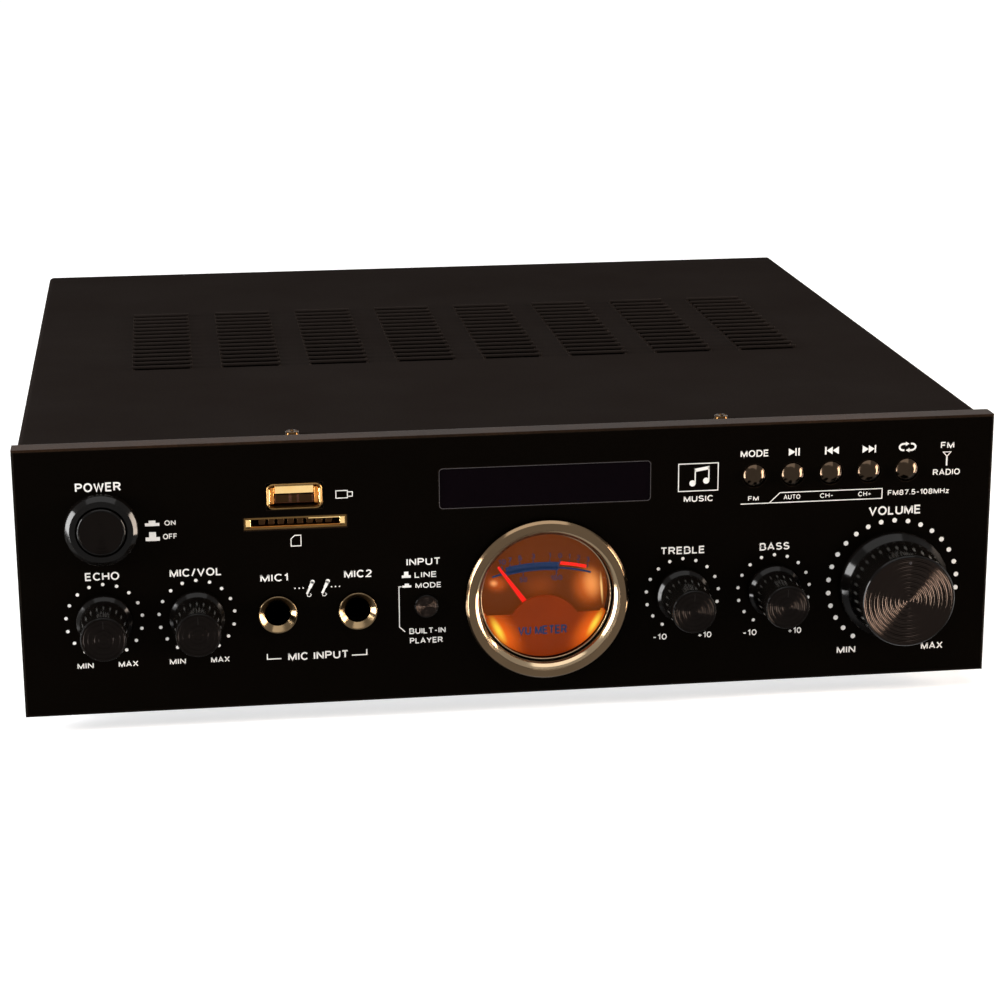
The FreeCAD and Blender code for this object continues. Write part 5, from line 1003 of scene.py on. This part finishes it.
def louvre_lips():
    """A rolled lip along the mouth of each louvre, in a lighter copy of the cover paint: painted
    sheen.

    Each lip has its section of eight (y, z) points at both ends of its width, and the ends are
    closed by the section's middle."""
    columns, rows = (np.arange(count) for count in LOUVRE_COUNT)
    x, y = np.meshgrid((columns - columns.mean()) * LOUVRE_PITCH[0],
                       FIRST_LOUVRE_Y + LOUVRE_PITCH[1] * rows)
    middle = np.broadcast_to(LIP_SECTION.mean(0), LIP_SECTION.shape)
    slices = [(-LOUVRE_HALF, middle), (-LOUVRE_HALF, LIP_SECTION),
              (LOUVRE_HALF, LIP_SECTION), (LOUVRE_HALF, middle)]
    one = np.array([np.insert(shape, 0, place, axis=1) for place, shape in slices])
    lips = [grid_shell(one + (a, b, ROOF)) for a, b in zip(x.ravel(), y.ravel())]
    piece("louvre_lips", joined(lips), LOOK["cover_lip_painted_sheen"])


TOP_SCREW_X, TOP_SCREW_DEPTH = 57.6, 2.75
SIDE_SCREW_Y, SIDE_SCREW_Z = (60.0, 200.3), 9.4
SIDE_SCREW_SINK = 0.07


def screw_head(place, direction):
    """A domed head with a cross recess.

    On a polar grid the height falls from 1.27 in the middle, slowly and then with about 70
    degrees, to 0.14 at the rim, less a recess whose depth fades from the middle out, inside two
    crossed bars."""
    radius, rings, sides = 2.05, 62, 64
    r = np.linspace(0, radius, rings)[:, None]
    a = np.linspace(0, 2 * np.pi, sides, endpoint=False)[None, :]
    u, v = r * np.cos(a), r * np.sin(a)
    dome = np.interp(r, [0, 1.2, 1.6, 1.76, 1.95, radius], [1.27, 1.22, 1.12, 1.0, 0.42, 0.14])
    off_bar = np.minimum(np.abs(u), np.abs(v))
    reach_out = np.sqrt(u ** 2 + v ** 2)
    inside = np.clip((0.42 - off_bar) / 0.14, 0, 1) * np.clip((1.65 - reach_out) / 0.3, 0, 1)
    w = np.broadcast_to(dome, u.shape) - 0.7 * inside * np.clip(1.2 - r / 2.2, 0, 1)
    foot = np.stack([(radius + 0.07) * np.cos(a), (radius + 0.07) * np.sin(a), 0 * a], -1)
    grid = np.concatenate([np.stack([u, v, w], -1), foot, foot * 0])
    turn = Vector((0, 0, 1)).rotation_difference(Vector(direction)).to_matrix()
    return grid_shell(grid @ np.array(turn).T + np.array(place, float))


def cover_screws():
    """Two on top behind the panel, and two on each side."""
    y = reach("cover_screws")[0][1] + TOP_SCREW_DEPTH
    heads = [screw_head((side * TOP_SCREW_X, y, ROOF), (0, 0, 1)) for side in (-1, 1)]
    heads += [screw_head((side * (WALL - SIDE_SCREW_SINK), y, SIDE_SCREW_Z), (side, 0, 0))
              for side in (-1, 1) for y in SIDE_SCREW_Y]
    piece("cover_screw_heads", joined(heads), LOOK["yellow_zinc"],
          stands_for=["cover_screws"], sharp=50)


louvre_lips()
cover_screws()


# Rear connectors


PHONO_OFFSET = 7.0


def phono_collars():
    """A coloured collar at the foot of each phono socket."""
    x, middle = axis_of("phono_jacks")
    rear = reach("rear_panel")[1][1]
    collar = eased([(4.3, rear), (5.6, rear, 0.1), (5.6, rear + 1.4, 0.35),
                    (4.3, rear + 1.5, 0.1), (4.3, rear)])
    for name, side, look in (("right", -1, "phono_red"), ("left", 1, "phono_white")):
        shell = turned((x, middle + side * PHONO_OFFSET), collar, 64)
        piece(f"phono_collar_{name}", shell, LOOK[look])


phono_collars()


# Printed legends


def button_icon(x0, x1, z0, z1, pressed):
    """A button on its base, seen from the side: the cap's height tells out from in."""
    inset, middle = 0.26 * (x1 - x0), z0 + (z1 - z0) * (0.42 if pressed else 0.55)
    return [bar(x0, x1, z0, middle), bar(x0 + inset, x1 - inset, middle, z1)]


def microphone_icon(x, z):
    """A handheld microphone that leans right, with a loose end of cable."""
    head, tail = np.array((x, z)), np.array((x - 1.55, z - 3.3))
    middle = (head + tail) / 2
    loose = ((0.0, -0.1), (0.15, -0.65), (0.75, -0.75), (1.15, -0.3), (0.85, 0.1))
    cable = line([tail + step for step in loose], 0.18)
    return [dot(*head, 0.55), line([head, middle], 0.85), line([middle, tail], 0.6), cable]


def repeat_icon(x, z):
    """Two hooked arrows that chase each other: a bow, a straight run and a head, and the same
    turned by half a turn about (x, z)."""
    hook = np.array([*bow((x - 1.15, z), (1.05, 0.88), (-75, -270), 12), (x - 0.45, z + 0.88)])
    head = np.array([(x - 0.55, z + 0.3), (x + 0.5, z + 0.88), (x - 0.55, z + 1.46)])
    twice = np.array((x, z)) * 2
    return [line(hook, 0.5), line(twice - hook, 0.5), area(head), area(twice - head)]


STROKE_SHARE = 0.155
CAPTIONS = [
    ("POWER", (-114.2, -102.5), (60.8, 63.2)), ("ON", (-91.8, -88.9), (51.0, 52.4)),
    ("OFF", (-92.3, -88.6), (47.3, 48.8)), ("ECHO", (-112.8, -104.0), (36.9, 39.1)),
    ("MIC/VOL", (-91.0, -77.5), (36.9, 39.1)), ("TREBLE", (39.2, 51.3), (37.1, 39.2)),
    ("BASS", (66.3, 74.5), (37.1, 39.2)), ("VOLUME", (96.1, 110.6), (45.6, 48.1)),
    ("MIN", (-115.9, -111.7), (12.9, 14.5)), ("MAX", (-105.2, -100.1), (12.9, 14.5)),
    ("MIN", (-91.9, -87.7), (12.9, 14.5)), ("MAX", (-81.1, -76.2), (12.9, 14.5)),
    ("-10", (37.4, 41.2), (13.2, 14.9)), ("+10", (49.7, 53.5), (13.2, 14.9)),
    ("-10", (62.2, 66.0), (13.2, 14.9)), ("+10", (74.7, 78.4), (13.2, 14.9)),
    ("MIN", (88.5, 93.7), (6.8, 8.8)), ("MAX", (112.2, 118.3), (6.8, 8.8)),
    ("MIC1", (-67.5, -60.3), (34.5, 36.6)), ("MIC2", (-45.5, -38.2), (34.6, 36.7)),
    ("MIC INPUT", (-60.8, -44.8), (12.4, 14.6)), ("INPUT", (-29.0, -20.0), (37.2, 39.2)),
    ("LINE", (-26.9, -21.0), (33.8, 35.4)), ("MODE", (-26.7, -19.8), (30.9, 32.4)),
    ("BUILT-IN", (-28.5, -18.8), (18.2, 19.8)), ("PLAYER", (-28.4, -19.6), (15.5, 17.1)),
    ("MODE", (60.5, 68.2), (63.2, 65.1)), ("FM", (115.4, 119.1), (63.5, 65.3)),
    ("RADIO", (113.5, 121.0), (56.1, 57.8)), ("FM", (62.8, 65.7), (51.1, 52.4)),
    ("AUTO", (72.5, 77.1), (51.1, 52.4)), ("CH-", (82.5, 86.1), (51.1, 52.4)),
    ("CH+", (93.0, 96.6), (51.1, 52.4)), ("FM87.5-108MHz", (101.2, 118.2), (51.0, 52.5)),
    ("MUSIC", (45.3, 53.3), (51.5, 53.2)),
]


def caption_prints():
    """All words of the panel. The strokes of taller words are a little heavier."""
    prints = []
    for text, x_range, z_range in CAPTIONS:
        weight = STROKE_SHARE + 0.01 * (z_range[1] - z_range[0])
        prints += words(text, x_range, z_range, weight)
    return prints


def player_signs():
    """Signs of the keys, the aerial, the tuner's line and box, and the music sign."""
    low, high = 63.1, 65.2
    return [
        triangle(73.6, 75.4, low, high), bar(75.4, 75.75, low, high), bar(76.2, 76.6, low, high),
        bar(83.5, 83.95, low, high), triangle(85.6, 83.95, low, high),
        triangle(87.3, 85.6, low, high), triangle(93.8, 95.5, low, high),
        triangle(95.5, 97.1, low, high), bar(97.1, 97.5, low, high), *repeat_icon(106.2, 64.3),
        line([(116.1, 62.5), (118.3, 62.5), (117.2, 61.3), (116.1, 62.5)], 0.25),
        line([(117.2, 61.6), (117.2, 58.7)], 0.42),
        line([(60.8, 50.3), (68.6, 50.3), (71.5, 53.05), (99.6, 53.05), (99.6, 50.3),
              (68.6, 50.3)], 0.24),
        line([(43.8, 54.5), (54.5, 54.5), (54.5, 62.0), (43.8, 62.0), (43.8, 54.5)], 0.25),
        dot(47.6, 56.6, 0.85), dot(51.3, 57.2, 0.85),
        line([(48.3, 56.6), (48.3, 60.4)], 0.34), line([(52.0, 57.2), (52.0, 61.0)], 0.34),
        line([(48.15, 60.15), (52.15, 60.8)], 0.9),
    ]


def input_signs():
    """Signs of the jacks, the input button, and the sockets."""
    return [
        *microphone_icon(-53.85, 34.0), *microphone_icon(-49.85, 34.0),
        *[dot(x, 32.4, 0.2, 8) for x in (-58.5, -57.4, -56.35, -48.9, -47.85, -46.8)],
        line([(-66.3, 14.6), (-66.3, 13.1), (-62.6, 13.1)], 0.3),
        line([(-43.9, 13.1), (-39.95, 13.1), (-39.95, 14.6)], 0.3),
        *button_icon(-30.3, -27.9, 33.9, 35.6, True),
        *button_icon(-30.2, -27.8, 31.2, 32.3, False),
        line([(-30.4, 31.5), (-31.1, 31.5), (-31.1, 20.3), (-29.6, 18.9)], 0.24),
        line([(-47.2, 56.5), (-44.2, 56.5), (-44.2, 58.5), (-47.2, 58.5), (-47.2, 56.5)], 0.22),
        line([(-44.2, 56.9), (-42.9, 56.9), (-42.9, 58.1), (-44.2, 58.1)], 0.22),
        line([(-59.2, 44.0), (-56.6, 44.0), (-56.6, 46.9), (-58.2, 46.9), (-59.2, 46.0),
              (-59.2, 44.0)], 0.22),
    ]


def control_signs():
    """The power button's two signs, and the rings of dots round all the knobs."""
    prints = button_icon(-96.8, -93.1, 51.0, 52.5, False)
    prints += button_icon(-96.8, -93.1, 47.0, 49.4, True)
    for name in KNOBS:
        prints += dot_ring(name + "_knob", 9.9, 21, 15, 0.46)
    return prints + dot_ring("volume_knob", 17.9, 12, 25, 0.66)


printed("panel_captions", caption_prints(), 0.0, LOOK["print_white"])
signs = player_signs() + input_signs() + control_signs()
printed("panel_signs", signs, 0.0, LOOK["print_white"])

# Finishes of the pieces that keep their CAD shape

CAD_FINISHES = {
    "panel_gloss_black": "front_panel", "cover_powder_paint": "top_cover",
    "rear_paint": "rear_panel", "zinc_sheet": "chassis_tray", "yellow_zinc": "inner_screws",
    "foot_rubber": "feet", "board_resin": "control_board player_board main_board",
    "shaft_steel": "echo_shaft mic_volume_shaft treble_shaft bass_shaft volume_shaft",
    "pot_plating": "small_potentiometers volume_potentiometer potentiometer_nuts",
    "component_black": "key_switches input_switch power_switch amplifier_chips mains_inlet "
                       "filter_capacitors speaker_terminal_block",
    "meter_case_black": "meter_case", "magnet_metal": "meter_movement",
    "dial_amber": "meter_dial", "mask_amber": "meter_mask", "lamp_glass": "meter_lamps",
    "window_dark": "display_window", "display_black": "display_module",
    "slot_plated_steel": "memory_card_slot", "core_laminations": "transformer_core",
    "winding_tape": "transformer_winding", "heatsink_aluminium": "heatsink",
    "phono_nickel": "phono_jacks", "lever_red": "left_positive_lever right_positive_lever",
    "lever_black": "left_negative_lever right_negative_lever",
}
for look, nodes in CAD_FINISHES.items():
    for node in nodes.split():
        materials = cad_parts[node].data.materials
        materials.clear()
        materials.append(LOOK[look])

# Studio

FLOOR_RADIUS = 8.0
AMBIENT = 0.25


def white_to_eye(nodes):
    """1 for rays from the camera and for mirror and glass rays, else 0."""
    path = nodes.add("LightPath").outputs
    seen = nodes.math("MAXIMUM", path["Is Camera Ray"], path["Is Glossy Ray"])
    return nodes.math("MAXIMUM", seen, path["Is Transmission Ray"])


def studio_floor():
    """A round pale floor. Its own light, seen by camera, mirror and glass rays only, lifts its
    colour to white where the lamps no longer reach: it grows with the distance from the middle,
    from 0.5 within 0.3 m to 0.82 beyond 1.0 m, and the object's shadow stays on it."""
    material, nodes, surface = shader("studio_floor")
    place = nodes.add("TexCoord").outputs["Object"]
    away = nodes.add("VectorMath", {0: place}, operation="LENGTH").outputs["Value"]
    lift = nodes.add("MapRange", {
        "Value": away, "From Min": 0.3, "From Max": 1.0, "To Min": 0.5, "To Max": 0.82,
    }, interpolation_type="SMOOTHSTEP").outputs[0]
    nodes.fill(surface, {
        "Base Color": (0.80, 0.80, 0.80, 1), "Roughness": 0.9, "Specular IOR Level": 0.0,
        "Emission Color": (1, 1, 1, 1),
        "Emission Strength": nodes.math("MULTIPLY", white_to_eye(nodes), lift),
    })
    turn = np.linspace(0, 2 * np.pi, 96, endpoint=False)
    edge = np.stack([FLOOR_RADIUS * np.cos(turn), FLOOR_RADIUS * np.sin(turn), 0 * turn], -1)
    mesh = bpy.data.meshes.new("studio_floor")
    mesh.from_pydata(edge.tolist(), [], [tuple(range(len(edge)))])
    mesh.materials.append(material)
    floor = new_object("studio_floor", mesh)
    floor.visible_glossy = False


def softbox(name, place, aim, size, power, colour=(1, 1, 1)):
    """A rectangular lamp that looks at a point."""
    lamp = bpy.data.lights.new(name, "AREA")
    lamp.shape = "RECTANGLE"
    lamp.size, lamp.size_y = size
    lamp.energy = power
    lamp.color = colour
    obj = new_object(name, lamp)
    obj.location = place
    obj.rotation_mode = "QUATERNION"
    obj.rotation_quaternion = (Vector(place) - Vector(aim)).to_track_quat("Z", "Y")


def studio_world():
    """White where it is seen, and a soft light of a quarter of that on all matt surfaces."""
    world = bpy.data.worlds.new("studio")
    world.use_nodes = True
    nodes = Nodes(world.node_tree)
    strength = nodes.math("MULTIPLY_ADD", white_to_eye(nodes), 1.0 - AMBIENT, AMBIENT)
    background = {"Color": (1, 1, 1, 1), "Strength": strength}
    nodes.fill(world.node_tree.nodes["Background"], background)
    bpy.context.scene.world = world


def studio_camera():
    """The photograph's camera: its right, up and backward directions and its place."""
    data = bpy.data.cameras.new("camera")
    data.sensor_width = 36
    data.lens = 90.8205
    data.clip_start, data.clip_end = 0.05, 60
    obj = new_object("camera", data)
    right = Vector((0.9909138, -0.1344152, -0.0047321))
    up = Vector((0.0406649, 0.2658753, 0.9631494))
    back = Vector((-0.1282038, -0.9545904, 0.2689255))
    place = Vector((-0.0891837, -0.7555117, 0.2378336))
    turn = Matrix((right, up, back)).transposed().to_4x4()
    obj.matrix_world = Matrix.Translation(place) @ turn
    bpy.context.scene.camera = obj


studio_floor()
studio_world()
softbox("lamp_overhead", (-0.05, -0.28, 1.00), (0, 0, 0.03), (1.10, 0.70), 7.5)
softbox("lamp_left", (-1.02, -0.30, 0.0), (0, -0.1, 0.0), (0.25, 0.98), 38)
softbox("lamp_right", (1.02, -0.30, 0.0), (0, -0.1, 0.0), (0.25, 0.86), 36, (1.0, 0.84, 0.70))
studio_camera()
bpy.context.scene.view_settings.view_transform = "Standard"
